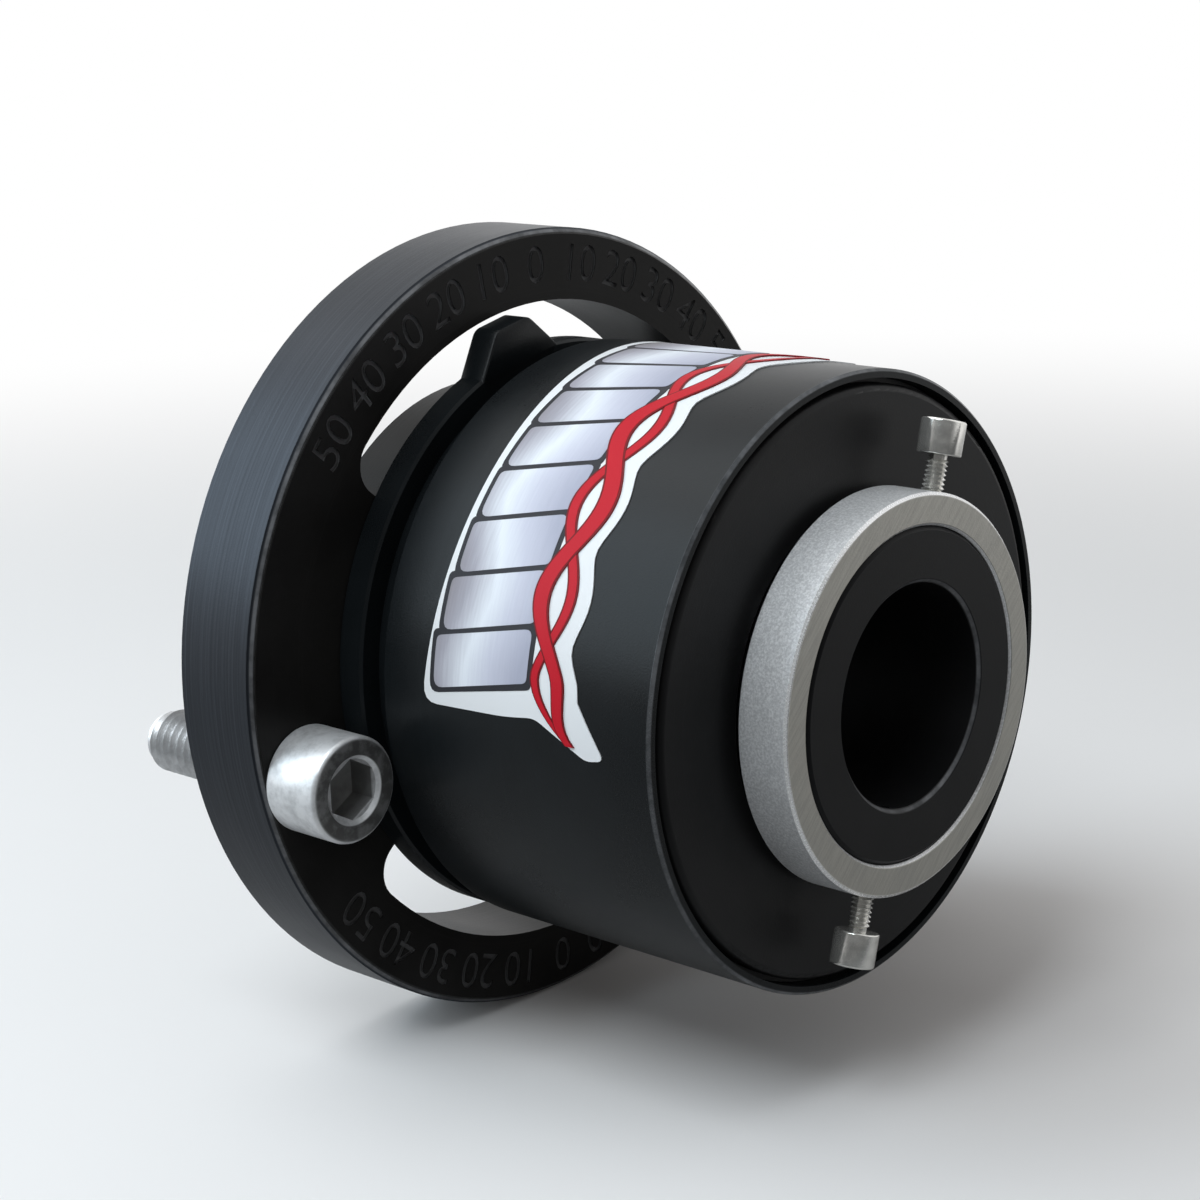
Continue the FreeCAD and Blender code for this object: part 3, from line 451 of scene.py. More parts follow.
def turned_mesh(profile, segments):
    """A closed shell turned about Z from (height, radius) points, which start and end on Z or meet."""
    shape = bmesh.new()
    rings = []
    for height, radius in profile:
        if radius == 0.0:
            rings.append([shape.verts.new((0.0, 0.0, height))])
        else:
            rings.append([shape.verts.new((radius * math.cos(turn), radius * math.sin(turn), height))
                          for turn in (math.tau * step / segments for step in range(segments))])
    if profile[0][1] > 0.0:
        rings.append(rings[0])
    for lower, upper in zip(rings, rings[1:]):
        for step in range(segments):
            following = (step + 1) % segments
            corners = [lower[step % len(lower)], lower[following % len(lower)],
                       upper[following % len(upper)], upper[step % len(upper)]]
            shape.faces.new(list(dict.fromkeys(corners)))
    bmesh.ops.recalc_face_normals(shape, faces=shape.faces)
    return shape


def raised_points(shape, faces):
    """Extrude faces of a bmesh, and return the new points, which are still to be moved."""
    region = bmesh.ops.extrude_face_region(shape, geom=faces)["geom"]
    return [item for item in region if isinstance(item, bmesh.types.BMVert)]


def rounded_corner(height, radius, size, towards):
    """Points of a rounded outer corner. Towards is 1 for a corner at the top and -1 at the bottom."""
    steps = 5
    points = []
    for step in range(steps + 1):
        turn = math.pi / 2 * step / steps
        points.append((height - towards * size * (1 - math.sin(turn)),
                       radius - size * (1 - math.cos(turn))))
    return points if towards > 0 else points[::-1]


def shade(mesh):
    """Smooth shading, with edges that turn by more than 32 degrees kept sharp."""
    for face in mesh.polygons:
        face.use_smooth = True
    mesh.set_sharp_from_angle(angle=math.radians(32.0))


def combined(thing, other, operation="DIFFERENCE"):
    """The mesh of one object with another cut out of it, or joined to it by UNION."""
    tool = thing.modifiers.new("combine", "BOOLEAN")
    tool.operation = operation
    tool.solver = "EXACT"
    tool.object = other
    mesh = applied(thing)
    bpy.data.objects.remove(other)
    return mesh


def weld(shape):
    """Merge a bmesh's points that nearly meet, and drop what is left without an area."""
    bmesh.ops.remove_doubles(shape, verts=shape.verts, dist=0.003 * MM)
    bmesh.ops.dissolve_degenerate(shape, edges=shape.edges, dist=0.003 * MM)


def joined(meshes):
    """One bmesh with several meshes in it, which are removed."""
    shape = bmesh.new()
    for mesh in meshes:
        shape.from_mesh(mesh)
        bpy.data.meshes.remove(mesh)
    return shape


# Geometry Nodes

class Recipe(Tree):
    """A Geometry Nodes tree with named inputs, which ends in Realize Instances and Set Material."""

    def __init__(self, name, inputs):
        group = bpy.data.node_groups.new(name, "GeometryNodeTree")
        super().__init__(group)
        interface = group.interface
        self.sockets = {}
        for title, kind, value in [*inputs, ("Finish", "NodeSocketMaterial", None)]:
            socket = interface.new_socket(title, in_out="INPUT", socket_type=kind)
            if value is not None:
                socket.default_value = value
            self.sockets[title] = socket.identifier
        interface.new_socket("Geometry", in_out="OUTPUT", socket_type="NodeSocketGeometry")
        entry = self.node("NodeGroupInput")
        self.inputs = {title: entry.output(title) for title in self.sockets}

    def close(self, geometry):
        whole = self.node("GeometryNodeRealizeInstances", sockets={"Geometry": geometry})
        painted = self.node("GeometryNodeSetMaterial",
                            sockets={"Geometry": whole, "Material": self.inputs["Finish"]})
        self.node("NodeGroupOutput", sockets={"Geometry": painted})

    def make(self, name, material, **values):
        """A plain mesh, made with these values."""
        thing = new_object(name, bpy.data.meshes.new(name))
        tool = thing.modifiers.new("recipe", "NODES")
        tool.node_group = self.tree
        tool[self.sockets["Finish"]] = material
        for title, value in values.items():
            tool[self.sockets[title.replace("_", " ")]] = value
        return applied(thing)


def thread_recipe():
    """A screw thread about Z, from height 0 upwards, which runs out at both ends.

    A six-sided bar is bent into the coil: one corner is the crest, and the far ones lie in the core.
    """
    flank_spread, sunk_depth = 0.57, 0.2
    recipe = Recipe("screw_thread", [
        ("Length", "NodeSocketFloat", 0.01), ("Pitch", "NodeSocketFloat", 0.001),
        ("Root radius", "NodeSocketFloat", 0.0025), ("Crest radius", "NodeSocketFloat", 0.003),
        ("Steps", "NodeSocketInt", 400)])
    length, pitch = recipe.inputs["Length"], recipe.inputs["Pitch"]
    root, crest = recipe.inputs["Root radius"], recipe.inputs["Crest radius"]
    bar = recipe.node("GeometryNodeMeshCylinder", {"fill_type": "NGON"}, {
        "Vertices": 6, "Side Segments": recipe.inputs["Steps"], "Radius": 1.0, "Depth": 1.0})
    where = recipe.node("GeometryNodeInputPosition")
    outward, side, share = recipe.split(where)
    share = share + 0.5
    climb = length - pitch
    turn = share * climb / pitch * math.tau
    turn_share = pitch / climb
    run_out = share.smooth(0.0, turn_share) * (1.0 - share.smooth(1.0 - turn_share * 0.7, 1.0))
    crest_share = (outward * 2.0 - 1.0).maths("MAXIMUM", 0.0)
    sunk_share = (outward - 0.5).maths("MINIMUM", 0.0)
    radius = root + (crest - root) * run_out * crest_share + sunk_share * pitch * sunk_depth
    height = share * climb + 0.5 * pitch - side * pitch * flank_spread
    spot = recipe.join(radius * turn.maths("COSINE"), radius * turn.maths("SINE"), height)
    moved = recipe.node("GeometryNodeSetPosition", sockets={"Geometry": bar, "Position": spot})
    recipe.close(moved)
    return recipe


# Mounting ring

NUMBER_ANGLES = range(-50, 51, 10)
ENGRAVING_DEPTH = 0.3 * MM
CUTTER_RISE = 0.3 * MM


def number_mesh(number):
    """A number as a closed solid, standing on the XY plane."""
    figures = bpy.data.curves.new("number", "FONT")
    figures.body = str(number)
    figures.align_x = "CENTER"
    figures.align_y = "CENTER"
    figures.size = NUMBER_HEIGHT / 0.7
    figures.resolution_u = 4
    figures.fill_mode = "FRONT"
    thing = bpy.data.objects.new("number", figures)
    bpy.context.scene.collection.objects.link(thing)
    mesh = applied(thing)
    shape = bmesh.new()
    shape.from_mesh(mesh)
    bmesh.ops.remove_doubles(shape, verts=shape.verts, dist=0.002 * MM)
    for point in raised_points(shape, shape.faces[:]):
        point.co.z += ENGRAVING_DEPTH + CUTTER_RISE
    bmesh.ops.recalc_face_normals(shape, faces=shape.faces)
    shape.to_mesh(mesh)
    shape.free()
    return mesh


def engraved_scale():
    """A plain angle scale round the top and the bottom of the ring's front, as a cutter."""
    facing_front = Matrix(((0, 0, 1, 0), (1, 0, 0, 0), (0, 1, 0, 0), (0, 0, 0, 1)))
    floor = RING_FRONT - ENGRAVING_DEPTH
    solids = []
    for middle in (0.0, 180.0):
        for angle in NUMBER_ANGLES:
            mesh = number_mesh(abs(angle))
            mesh.transform(clock_turn(middle + angle)
                           @ Matrix.Translation((floor, 0.0, NUMBER_RADIUS)) @ facing_front)
            solids.append(mesh)
    return joined(solids)


def make_mounting_ring(material):
    """The CAD ring with the scale cut into its front."""
    shape = bmesh.new()
    shape.from_mesh(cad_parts["mounting_ring"].data)
    bmesh.ops.remove_doubles(shape, verts=shape.verts, dist=0.002 * MM)
    bmesh.ops.dissolve_limit(shape, angle_limit=math.radians(0.5), verts=shape.verts, edges=shape.edges)
    ring = new_object("mounting_ring_engraved", shape, material)
    cutter = new_object("scale_cutter", engraved_scale(), material)
    mesh = combined(ring, cutter)
    shade(mesh)
    for face in mesh.polygons:
        face.use_smooth = abs(face.normal.x) < 0.99
    piece = new_object("mounting_ring_engraved", mesh, material)
    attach(piece, "stator")
    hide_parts("mounting_ring")


# Housing

# Its turned outline in millimetres: places along the axis, and radii
EDGE = 0.25
SPIGOT_BACK, SPIGOT_RADIUS, SPIGOT_BORE = 4.0, 19.95, 18.2
FLANGE_BACK, FLANGE_FRONT, FLANGE_RADIUS = 10.0, 13.0, 27.8
NECK_RADIUS = 25.6
BODY_BACK, BODY_FRONT, BODY_RADIUS = 16.0, HOUSING_FRONT / MM, HOUSING_RADIUS / MM
CAP_SEAT_BACK, CAP_SEAT_RADIUS = 43.9, 27.2
CAVITY_BACK, CAVITY_RADIUS = 18.4, 25.5
BEARING_BACK, BEARING_RADIUS = 10.6, 21.0
HOUSING_PROFILE = (
    (SPIGOT_BACK, SPIGOT_BORE), (SPIGOT_BACK, SPIGOT_RADIUS - EDGE),
    (SPIGOT_BACK + EDGE, SPIGOT_RADIUS), (FLANGE_BACK, SPIGOT_RADIUS),
    (FLANGE_BACK, FLANGE_RADIUS - EDGE), (FLANGE_BACK + EDGE, FLANGE_RADIUS),
    (FLANGE_FRONT - EDGE, FLANGE_RADIUS), (FLANGE_FRONT, FLANGE_RADIUS - EDGE),
    (FLANGE_FRONT, NECK_RADIUS), (BODY_BACK, NECK_RADIUS),
    (BODY_BACK, BODY_RADIUS - EDGE), (BODY_BACK + EDGE, BODY_RADIUS),
    (BODY_FRONT - EDGE, BODY_RADIUS), (BODY_FRONT, BODY_RADIUS - EDGE),
    (BODY_FRONT, CAP_SEAT_RADIUS), (CAP_SEAT_BACK, CAP_SEAT_RADIUS),
    (CAP_SEAT_BACK, CAVITY_RADIUS), (CAVITY_BACK, CAVITY_RADIUS),
    (CAVITY_BACK, BEARING_RADIUS), (BEARING_BACK, BEARING_RADIUS), (BEARING_BACK, SPIGOT_BORE))
EAR_ANGLES = (348.0, 168.0)
EAR_ROOT, EAR_TIP, EAR_RISE = 26.9, 31.0, 4.0
EAR_HALF_BASE, EAR_HALF_TIP, EAR_ROUNDING = 5.5, 2.2, 1.4


def ear_outline():
    """One ear's outline in millimetres, as (across, out from the axis), with a rounded tip."""
    slope = math.atan2(EAR_RISE, EAR_HALF_BASE - EAR_HALF_TIP)
    trim = EAR_ROUNDING * math.tan(slope / 2)
    centre = (EAR_HALF_TIP - trim, EAR_TIP - EAR_ROUNDING)
    right = [(EAR_HALF_BASE, EAR_ROOT)]
    for step in range(9):
        turn = math.pi / 2 - slope * (1 - step / 8)
        right.append((centre[0] + EAR_ROUNDING * math.cos(turn),
                      centre[1] + EAR_ROUNDING * math.sin(turn)))
    return right + [(-across, out) for across, out in reversed(right)]


def ear_mesh(angle):
    """An ear on the rear flange, with its edges lightly broken."""
    shape = bmesh.new()
    face = shape.faces.new([shape.verts.new((FLANGE_BACK * MM, across * MM, out * MM))
                            for across, out in ear_outline()])
    for point in raised_points(shape, [face]):
        point.co.x = FLANGE_FRONT * MM
    bmesh.ops.recalc_face_normals(shape, faces=shape.faces)
    rims = [edge for edge in shape.edges if abs(edge.verts[0].co.x - edge.verts[1].co.x) < 1e-9]
    bmesh.ops.bevel(shape, geom=rims, offset=EDGE * MM, segments=2, affect="EDGES", profile=0.5)
    mesh = as_mesh("ear", shape)
    mesh.transform(clock_turn(angle))
    return mesh


def make_housing(material):
    """The turned housing with its two ears and the grommet's seat and hole."""
    profile = [(along * MM, radius * MM) for along, radius in HOUSING_PROFILE]
    shape = turned_mesh(profile, 192)
    shape.transform(FROM_Z_TO_X)
    bmesh.ops.recalc_face_normals(shape, faces=shape.faces)
    mesh = as_mesh("housing", shape)
    for angle in EAR_ANGLES:
        mesh = combined(new_object("housing", mesh), new_object("ear", ear_mesh(angle)), "UNION")
    top = HOUSING_RADIUS + 2.0 * MM
    for radius, bottom in GROMMET_DRILLS:
        drill = turned_mesh([(bottom, 0.0), (bottom, radius), (top, radius), (top, 0.0)], 48)
        drill.transform(clock_turn(GROMMET_ANGLE) @ Matrix.Translation((GROMMET_PLACE, 0.0, 0.0)))
        mesh = combined(new_object("housing", mesh), new_object("drill", drill))
    shape = joined([mesh])
    weld(shape)
    piece = new_object("housing_turned", shape, material)
    shade(piece.data)
    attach(piece, "stator")
    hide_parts("housing")


# Screws

STEPS_PER_TURN = 32


def hexagon_cutter(across_flats, top, bottom):
    """A hexagonal socket about Z, with a drilled point below it."""
    radius = across_flats / math.sqrt(3.0)
    profile = [(bottom - across_flats * 0.22, 0.0), (bottom, radius), (top, radius), (top, 0.0)]
    return turned_mesh(profile, 6)


def socket_screw(head, shank, thread, socket, thread_maker, segments=72):
    """Socket cap screw about Z, its head's underside at height 0 and its shank below.

    Head is (radius, height, front rounding, back rounding), shank (radius, length), thread
    (start below the head, root radius, pitch) and socket (across flats, depth).
    """
    head_radius, head_height, front_round, back_round = head
    shank_radius, shank_length = shank
    thread_start, root_radius, pitch = thread
    flats, depth = socket
    tip_chamfer, relief, run_out, overlap = root_radius * 0.2, pitch * 0.6, pitch * 0.15, 0.02 * MM
    profile = [(-shank_length, 0.0), (-shank_length, root_radius - tip_chamfer),
               (-shank_length + tip_chamfer, root_radius)]
    if thread_start > 0.0:
        profile += [(-thread_start - relief, root_radius), (-thread_start, shank_radius),
                    (0.0, shank_radius)]
    else:
        profile += [(0.0, root_radius)]
    profile += rounded_corner(0.0, head_radius, back_round, -1)
    profile += rounded_corner(head_height, head_radius, front_round, 1)
    mouth = flats / math.sqrt(3.0) * 1.12
    sink = flats * 0.08
    profile += [(head_height, mouth), (head_height - sink, mouth - sink), (head_height - sink, 0.0)]
    body = new_object("screw_body", turned_mesh(profile, segments))
    hexagon = hexagon_cutter(flats, head_height + depth, head_height - depth)
    solid = combined(body, new_object("socket_cutter", hexagon))
    thread_length = shank_length - thread_start - pitch * 0.2  # short of both ends
    ridge = thread_maker.make("thread", None, Length=thread_length, Pitch=pitch,
                              Root_radius=root_radius - overlap, Crest_radius=shank_radius,
                              Steps=int(thread_length / pitch * STEPS_PER_TURN))
    ridge.transform(Matrix.Translation((0.0, 0.0, run_out - shank_length)))
    screw = joined([solid, ridge])
    weld(screw)
    return screw


def add_screw(name, shape, place, material, body):
    """Turn a screw from Z to its place, and let it stand for its CAD node."""
    piece = new_object(name + "_detailed", shape, material)
    piece.data.transform(place)
    shade(piece.data)
    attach(piece, body)
    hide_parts(name)


def make_bracket_bolts(thread_maker):
    """M6 socket cap bolts with rounded heads, threaded where they stand out behind the ring."""
    for name in ("bracket_bolt_left", "bracket_bolt_right"):
        shape = socket_screw(head=(4.9 * MM, BOLT_HEAD_HEIGHT, 0.5 * MM, 0.35 * MM),
                             shank=(3.0 * MM, 20.0 * MM), thread=(10.2 * MM, 2.45 * MM, 1.0 * MM),
                             socket=(5.0 * MM, 3.2 * MM), thread_maker=thread_maker)
        centre = clock_place(*clock_middle(name))
        material = bright_steel(name + "_steel", centre, (0.80, 0.81, 0.82), 0.44,
                                RING_FRONT + BOLT_HEAD_HEIGHT - 0.1 * MM, shine=0.62)
        place = Matrix.Translation(clock_place(*clock_middle(name), RING_FRONT)) @ FROM_Z_TO_X
        add_screw(name, shape, place, material, "stator")


def make_clamp_screws(thread_maker):
    """M2 socket cap screws, radial in the drive collar, threaded up to their heads."""
    for name, angle in CLAMP_SCREW_ANGLES.items():
        shape = socket_screw(head=(2.0 * MM, 3.1 * MM, 0.2 * MM, 0.15 * MM),
                             shank=(1.0 * MM, 10.8 * MM), thread=(0.0, 0.8 * MM, 0.4 * MM),
                             socket=(1.5 * MM, 1.5 * MM), thread_maker=thread_maker, segments=56)
        place = clock_turn(angle) @ Matrix.Translation((CLAMP_SCREW_PLACE, 0.0, CLAMP_SCREW_SEAT))
        material = bright_steel(name + "_steel", (CLAMP_SCREW_PLACE, 0.0, 0.0), (0.84, 0.83, 0.79),
                                0.15, shine=0.85)
        add_screw(name, shape, place, material, "rotor")


# Label on the housing

# Its flat sizes are in millimetres: around the housing, and along its axis
LABEL_START = 268.7
LABEL_FIRST = 1.4
LABEL_LENGTH = 53.0
LABEL_MARGIN = 1.25
LABEL_HEIGHT = 0.10 * MM
INK_HEIGHT = 0.02 * MM
BAR_COUNT, BAR_FIRST, BAR_WIDTH, BAR_LINE = 9, 2.9, 4.62, 0.5
BAR_BACK, BAR_FRONT = 22.3, 33.6
BAR_SLANT = 2.2
RIBBON_PLACE = 35.4
RIBBON_LINE = 0.22
STRAND_SWING = 1.6
WHITE = colour(0.80, 0.81, 0.82)
DARK = colour(0.03, 0.03, 0.035)
RED = colour(0.52, 0.008, 0.020)
DEEP_RED = colour(0.17, 0.005, 0.008)


def back_edge(around):
    """The back ends of the bars, in millimetres along the axis, at a place round the housing."""
    return BAR_BACK + 1.6 * math.sin(math.pi * around / 44.0)


def ribbon_line(around):
    """The middle of the red ribbons, which flare to the front at both ends."""
    return (RIBBON_PLACE + 4.2 * math.exp(-around / 2.4)
            + 4.6 * math.exp((around - LABEL_LENGTH) / 6.0))


def strand_swing(around):
    """How far a ribbon is from the ribbon line."""
    return STRAND_SWING * math.sin(math.tau * around / 17.0) * min(1.0, around / 6.0)


def rounded_outline(corners, steps=4):
    """An outline of (around, along, rounding) corners, as (around, along) points."""
    points = []
    for index, (around, along, rounding) in enumerate(corners):
        here = Vector((around, along))
        if not rounding:
            points.append((around, along))
            continue
        before = here + (Vector(corners[index - 1][:2]) - here).normalized() * rounding
        after = here + (Vector(corners[(index + 1) % len(corners)][:2]) - here).normalized() * rounding
        for step in range(steps + 1):
            share = step / steps
            points.append(tuple(before * (1 - share) ** 2 + here * 2 * share * (1 - share)
                                + after * share ** 2))
    return points


def label_outline():
    """The label's outline, a margin outside the bars and the ribbons."""
    first, last = LABEL_FIRST, LABEL_LENGTH
    steps = 60
    middle = [first + 3.0 + (last - first - 6.0) * step / steps for step in range(steps + 1)]
    corners = [(first, back_edge(first) - LABEL_MARGIN, 1.8)]
    corners += [(around, back_edge(around) - LABEL_MARGIN, 0.0) for around in middle]
    corners += [(last - 2.0, 24.5, 2.0), (last, 33.0, 2.5),
                (last - 0.5, ribbon_line(last) + 2.2, 1.2)]
    corners += [(around, ribbon_line(around) + math.hypot(strand_swing(around), 0.7) + 2.0, 0.0)
                for around in middle[::-1]]
    corners += [(0.0, 42.4, 0.7), (-0.4, 40.4, 0.7), (2.3, 34.6, 0.8), (first + 0.4, 31.0, 1.5)]
    return rounded_outline(corners)


def slanted_bar(first, grow):
    """One bar of the row behind the ribbons, with rounded corners, grown on all sides."""
    start, end = first - grow, first + BAR_WIDTH + grow
    low, high = back_edge(first) - grow, BAR_FRONT + grow
    return rounded_outline([(start, low, 1.1), (start + BAR_SLANT, high, 0.5),
                            (end + BAR_SLANT, high, 0.9), (end, low, 0.5)])


def ribbon_outline(strand, half_width):
    """A red ribbon that swings about the ribbon line and comes to a point at both ends."""
    steps = 90
    near, far = [], []
    for step in range(steps + 1):
        share = step / steps
        around = 0.6 + share * (LABEL_LENGTH - 2.2)
        swing = strand * strand_swing(around)
        half = half_width * math.sin(math.pi * min(1.0, 0.05 + share * 0.93)) ** 0.4
        near.append((around, ribbon_line(around) + swing - half))
        far.append((around, ribbon_line(around) + swing + half))
    return near + far[::-1]


def wrapped_layer(outline, height, ink, shading=0.0):
    """A closed sheet of vinyl, wrapped on the housing from just below its surface to a height."""
    shape = bmesh.new()
    ink_layer = shape.verts.layers.float_color.new("ink")
    shading_layer = shape.verts.layers.float.new("shading")
    flat_layer = shape.loops.layers.uv.new("flat")
    face = shape.faces.new([shape.verts.new((around, along, 0.0)) for around, along in outline])
    for point in raised_points(shape, [face]):
        point.co.z = 1.0
    low = min(around for around, _ in outline)
    high = max(around for around, _ in outline)
    for cut in range(int(low) + 1, math.ceil(high)):
        bmesh.ops.bisect_plane(shape, geom=[*shape.verts, *shape.edges, *shape.faces],
                               plane_co=(cut, 0.0, 0.0), plane_no=(1.0, 0.0, 0.0))
    bmesh.ops.triangulate(shape, faces=[f for f in shape.faces if len(f.verts) > 4])
    for face in shape.faces:
        for corner in face.loops:
            corner[flat_layer].uv = corner.vert.co.xy
    for vertex in shape.verts:
        around, along, level = vertex.co
        vertex[ink_layer] = ink
        vertex[shading_layer] = shading
        radius = HOUSING_RADIUS + (height if level > 0.5 else -0.06 * MM)
        angle = LABEL_START + math.degrees(around * MM / HOUSING_RADIUS)
        vertex.co = clock_place(radius, angle, along * MM)
    weld(shape)
    bmesh.ops.recalc_face_normals(shape, faces=shape.faces)
    return as_mesh("layer", shape)


def make_label(material):
    """A plain decorative sticker: slanted silver bars and two crossing red ribbons on white."""
    layers = [wrapped_layer(label_outline(), LABEL_HEIGHT, WHITE)]
    bars = [BAR_FIRST + number * (BAR_WIDTH + BAR_LINE) for number in range(BAR_COUNT)]
    for number, first in enumerate(bars):
        # Neighbours' dark lines overlap, so their heights alternate
        height = (0.13 + 0.01 * (number % 2)) * MM
        layers.append(wrapped_layer(slanted_bar(first, BAR_LINE), height, DARK))
    for first in bars:
        layers.append(wrapped_layer(slanted_bar(first, 0.0), 0.16 * MM, WHITE, shading=1.0))
    for height, strand, half_width in ((0.19 * MM, -1, 0.7), (0.23 * MM, 1, 1.05)):
        layers.append(wrapped_layer(ribbon_outline(strand, half_width), height, DEEP_RED))
        layers.append(wrapped_layer(ribbon_outline(strand, half_width - RIBBON_LINE),
                                    height + INK_HEIGHT, RED))
    piece = new_object("housing_label", joined(layers), material)
    shade(piece.data)
    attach(piece, "stator")


# CAD nodes that stay

def paint(material, *nodes):
    """Give CAD nodes a material."""
    for node in nodes:
        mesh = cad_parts[node].data
        mesh.materials.clear()
        mesh.materials.append(material)


def paint_nodes():
    """Finishes of the nodes whose CAD shape is right."""
    bearings = [f"{place}_{part}" for place in ("front", "rear")
                for part in ("bearing_inner_race", "bearing_outer_race", "balls")]
    paint(anodised("cap_black", (0.010, 0.010, 0.0105), 0.38, grain=(0.15 * MM, 0.010 * MM),
                   turning=(0.25 * MM, 0.003 * MM), level=0.16), "front_cap")
    mouth = (SLEEVE_FRONT - 0.2 * MM, BORE_RADIUS + 0.2 * MM)
    paint(anodised("sleeve_black", (0.008, 0.008, 0.0085), 0.38, grain=(0.14 * MM, 0.009 * MM),
                   turning=(0.22 * MM, 0.004 * MM), edges=[mouth], level=0.14), "rotor_sleeve")
    paint(blasted_aluminium("collar_blasted"), "rotor_collar")
    for number in range(1, 5):
        name = f"flange_screw_{number}"
        paint(bright_steel(name + "_steel", clock_place(*clock_middle(name)), rough=0.22), name)
    paint(bright_steel("bearing_steel", tint=(0.60, 0.61, 0.62), rough=0.14), *bearings)
    paint(bright_steel("clip_steel", tint=(0.42, 0.42, 0.43), rough=0.34), "retaining_clip",
          "collar_spacer")
    paint(plated("cage_brass", (0.66, 0.50, 0.24), 0.30), "front_ball_cage", "rear_ball_cage",
          "stack_clamp_ring")
    paint(plated("contact_gold", (0.80, 0.60, 0.25), 0.18), *[f"contact_ring_{i}" for i in range(1, 9)])
    paint(plated("wire_gold", (0.82, 0.63, 0.30), 0.20), "brush_wires_a", "brush_wires_b")
    paint(moulded("insulator_cream", (0.66, 0.61, 0.48), 0.5, (0.50, 0.44, 0.32)), "ring_carrier",
          *[f"insulator_{i}" for i in range(1, 10)])
    paint(moulded("holder_green", (0.03, 0.13, 0.07), 0.45, (0.10, 0.24, 0.15)), "brush_holder_a",
          "brush_holder_b")
    paint(seal_rubber("seal_rubber"), "cap_o_ring", "rear_seal", "lead_grommet")


# Floor, light and camera

FLOOR_HEIGHT = -RING_RADIUS
STUDIO_CENTRE = Vector((0.02, 0.0, 0.0))
CAMERA_PLACE = Vector((0.1839, -0.1813, 0.0680))
CAMERA_FORWARD = Vector((-0.6555, 0.7110, -0.2544)).normalized()
CAMERA_ROLL = 2.0
CAMERA_LENS = 80.0


def make_floor():
    """A pale floor that keeps the shadow near the object and is plain white further out.

    To all but the camera it is greyer, and dark in front of the object, as the room is there.
    """
    finish = Finish("studio_floor")
    place = finish.place()
    along, across, _ = finish.split(place)
    distance = (along * along + across * across) ** 0.5
    front = (along * 0.68 - across * 0.73).smooth(0.03, 0.13)
    paper = finish.noise(place, 30.0, 3.0)
    rays = finish.node("ShaderNodeLightPath")
    tone = finish.mix(paper * 0.15, colour(0.86, 0.835, 0.82), colour(0.80, 0.775, 0.76))
    matt = finish.node("ShaderNodeBsdfPrincipled", sockets={
        "Base Color": finish.mix((1.0 - rays) * (0.5 + front * 0.5), tone, colour(0.10, 0.10, 0.10)),
        "Roughness": 0.85, "Specular IOR Level": 0.2})
    white = finish.node("ShaderNodeEmission", sockets={"Color": colour(1, 1, 1), "Strength": 1.0})
    mirrored = (rays.output("Is Glossy Ray") + rays.output("Is Transmission Ray")) > 0.5
    far = distance.smooth(0.14, 0.42)
    surface = finish.node("ShaderNodeMixShader", sockets=(
        (rays + mirrored * (1.0 - front)) * far, matt, white))
    finish.node("ShaderNodeOutputMaterial", sockets={"Surface": surface})
    shape = bmesh.new()
    bmesh.ops.create_circle(shape, cap_ends=True, radius=6.0, segments=96)
    shape.normal_update()
    floor = new_object("studio_floor", shape, finish.material)
    floor.data.transform(Matrix.Translation(STUDIO_CENTRE + Vector((0.0, 0.0, FLOOR_HEIGHT))))


def make_world():
    """A white surround for camera, gloss and glass, darker in front of the object, and a soft fill."""
    world = bpy.data.worlds.new("studio")
    world.use_nodes = True
    bpy.context.scene.world = world
    tree = Tree(world.node_tree)
    world.node_tree.nodes.clear()
    rays = tree.node("ShaderNodeLightPath")
    mirrored = (rays.output("Is Glossy Ray") + rays.output("Is Transmission Ray")) > 0.5
    direction = tree.node("ShaderNodeTexCoord", output="Generated")
    front = direction.maths("DOT_PRODUCT", Vector((0.62, -0.75, 0.2))).smooth(0.1, 0.8)
    background = tree.node("ShaderNodeBackground", sockets={
        "Color": colour(1, 1, 1), "Strength": 0.32 + rays * 0.68 + mirrored * (0.68 - front * 0.85)})
    tree.node("ShaderNodeOutputWorld", sockets={"Surface": background})


def add_lamp(name, direction, distance, size, power, tint):
    """A rectangular soft box that faces the object."""
    lamp = bpy.data.lights.new(name, "AREA")
    lamp.shape = "RECTANGLE"
    lamp.size, lamp.size_y = size
    lamp.energy = power
    lamp.color = tint
    thing = bpy.data.objects.new(name, lamp)
    bpy.context.scene.collection.objects.link(thing)
    away = Vector(direction).normalized()
    thing.location = STUDIO_CENTRE + away * distance
    thing.rotation_mode = "QUATERNION"
    thing.rotation_quaternion = away.to_track_quat("Z", "Y")


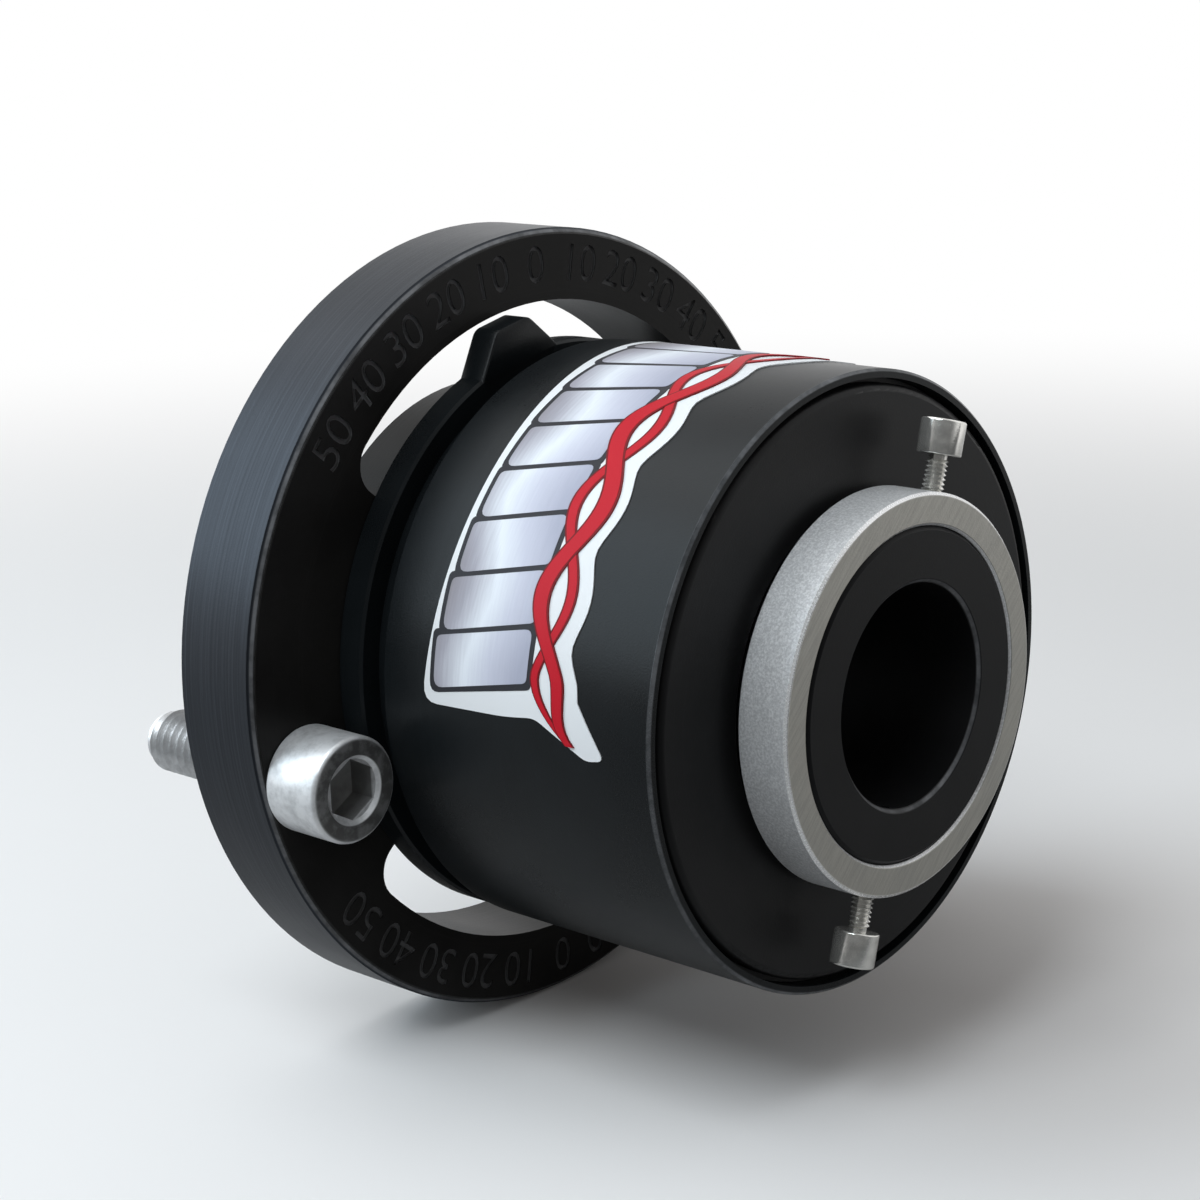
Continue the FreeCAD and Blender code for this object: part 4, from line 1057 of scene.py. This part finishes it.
def make_camera():
    """The photograph's point of view, turned to the object, with a longer lens."""
    camera = bpy.data.cameras.new("camera")
    camera.sensor_width = 36.0
    camera.lens = CAMERA_LENS
    camera.clip_start = 0.01
    thing = bpy.data.objects.new("camera", camera)
    bpy.context.scene.collection.objects.link(thing)
    thing.location = CAMERA_PLACE
    level = CAMERA_FORWARD.cross(Vector((0, 0, 1))).normalized()
    right = Matrix.Rotation(math.radians(CAMERA_ROLL), 3, CAMERA_FORWARD) @ level
    up = right.cross(CAMERA_FORWARD)
    turn = Matrix((right, up, -CAMERA_FORWARD)).transposed()
    thing.rotation_mode = "QUATERNION"
    thing.rotation_quaternion = turn.to_quaternion()
    bpy.context.scene.camera = thing


ring_black = anodised(
    "ring_black", (0.012, 0.0115, 0.011), 0.36, grain=(0.17 * MM, 0.008 * MM),
    turning=(0.55 * MM, 0.014 * MM), level=0.1,
    edges=[(RING_FRONT - 0.3 * MM, RING_RADIUS - 0.3 * MM)],
    etched=(RING_FRONT - 0.4 * MM, RING_FRONT - 0.1 * MM),
    sheen=(RING_RADIUS - 0.2 * MM, (0.034, 0.038, 0.045)))
housing_black = anodised(
    "housing_black", (0.006, 0.0075, 0.0085), 0.30, grain=(0.16 * MM, 0.012 * MM),
    turning=(0.30 * MM, 0.002 * MM), level=0.16,
    edges=[(HOUSING_FRONT - 0.15 * MM, HOUSING_RADIUS - 0.15 * MM)])
make_mounting_ring(ring_black)
make_housing(housing_black)
thread_maker = thread_recipe()
make_bracket_bolts(thread_maker)
make_clamp_screws(thread_maker)
make_label(label_print("label_print"))
paint_nodes()
make_floor()
make_world()
add_lamp("left_window", (-0.66, -0.60, 0.45), 0.60, (0.42, 0.42), 1.65, (0.74, 0.89, 1.0))
add_lamp("top_soft_box", (-0.45, -0.18, 0.88), 0.70, (0.45, 0.45), 1.2, (0.92, 0.97, 1.0))
add_lamp("front_window", (0.10, -0.60, 0.80), 0.60, (0.30, 0.30), 1.9, (0.88, 0.95, 1.0))
make_camera()

bpy.context.scene.view_settings.view_transform = "Standard"
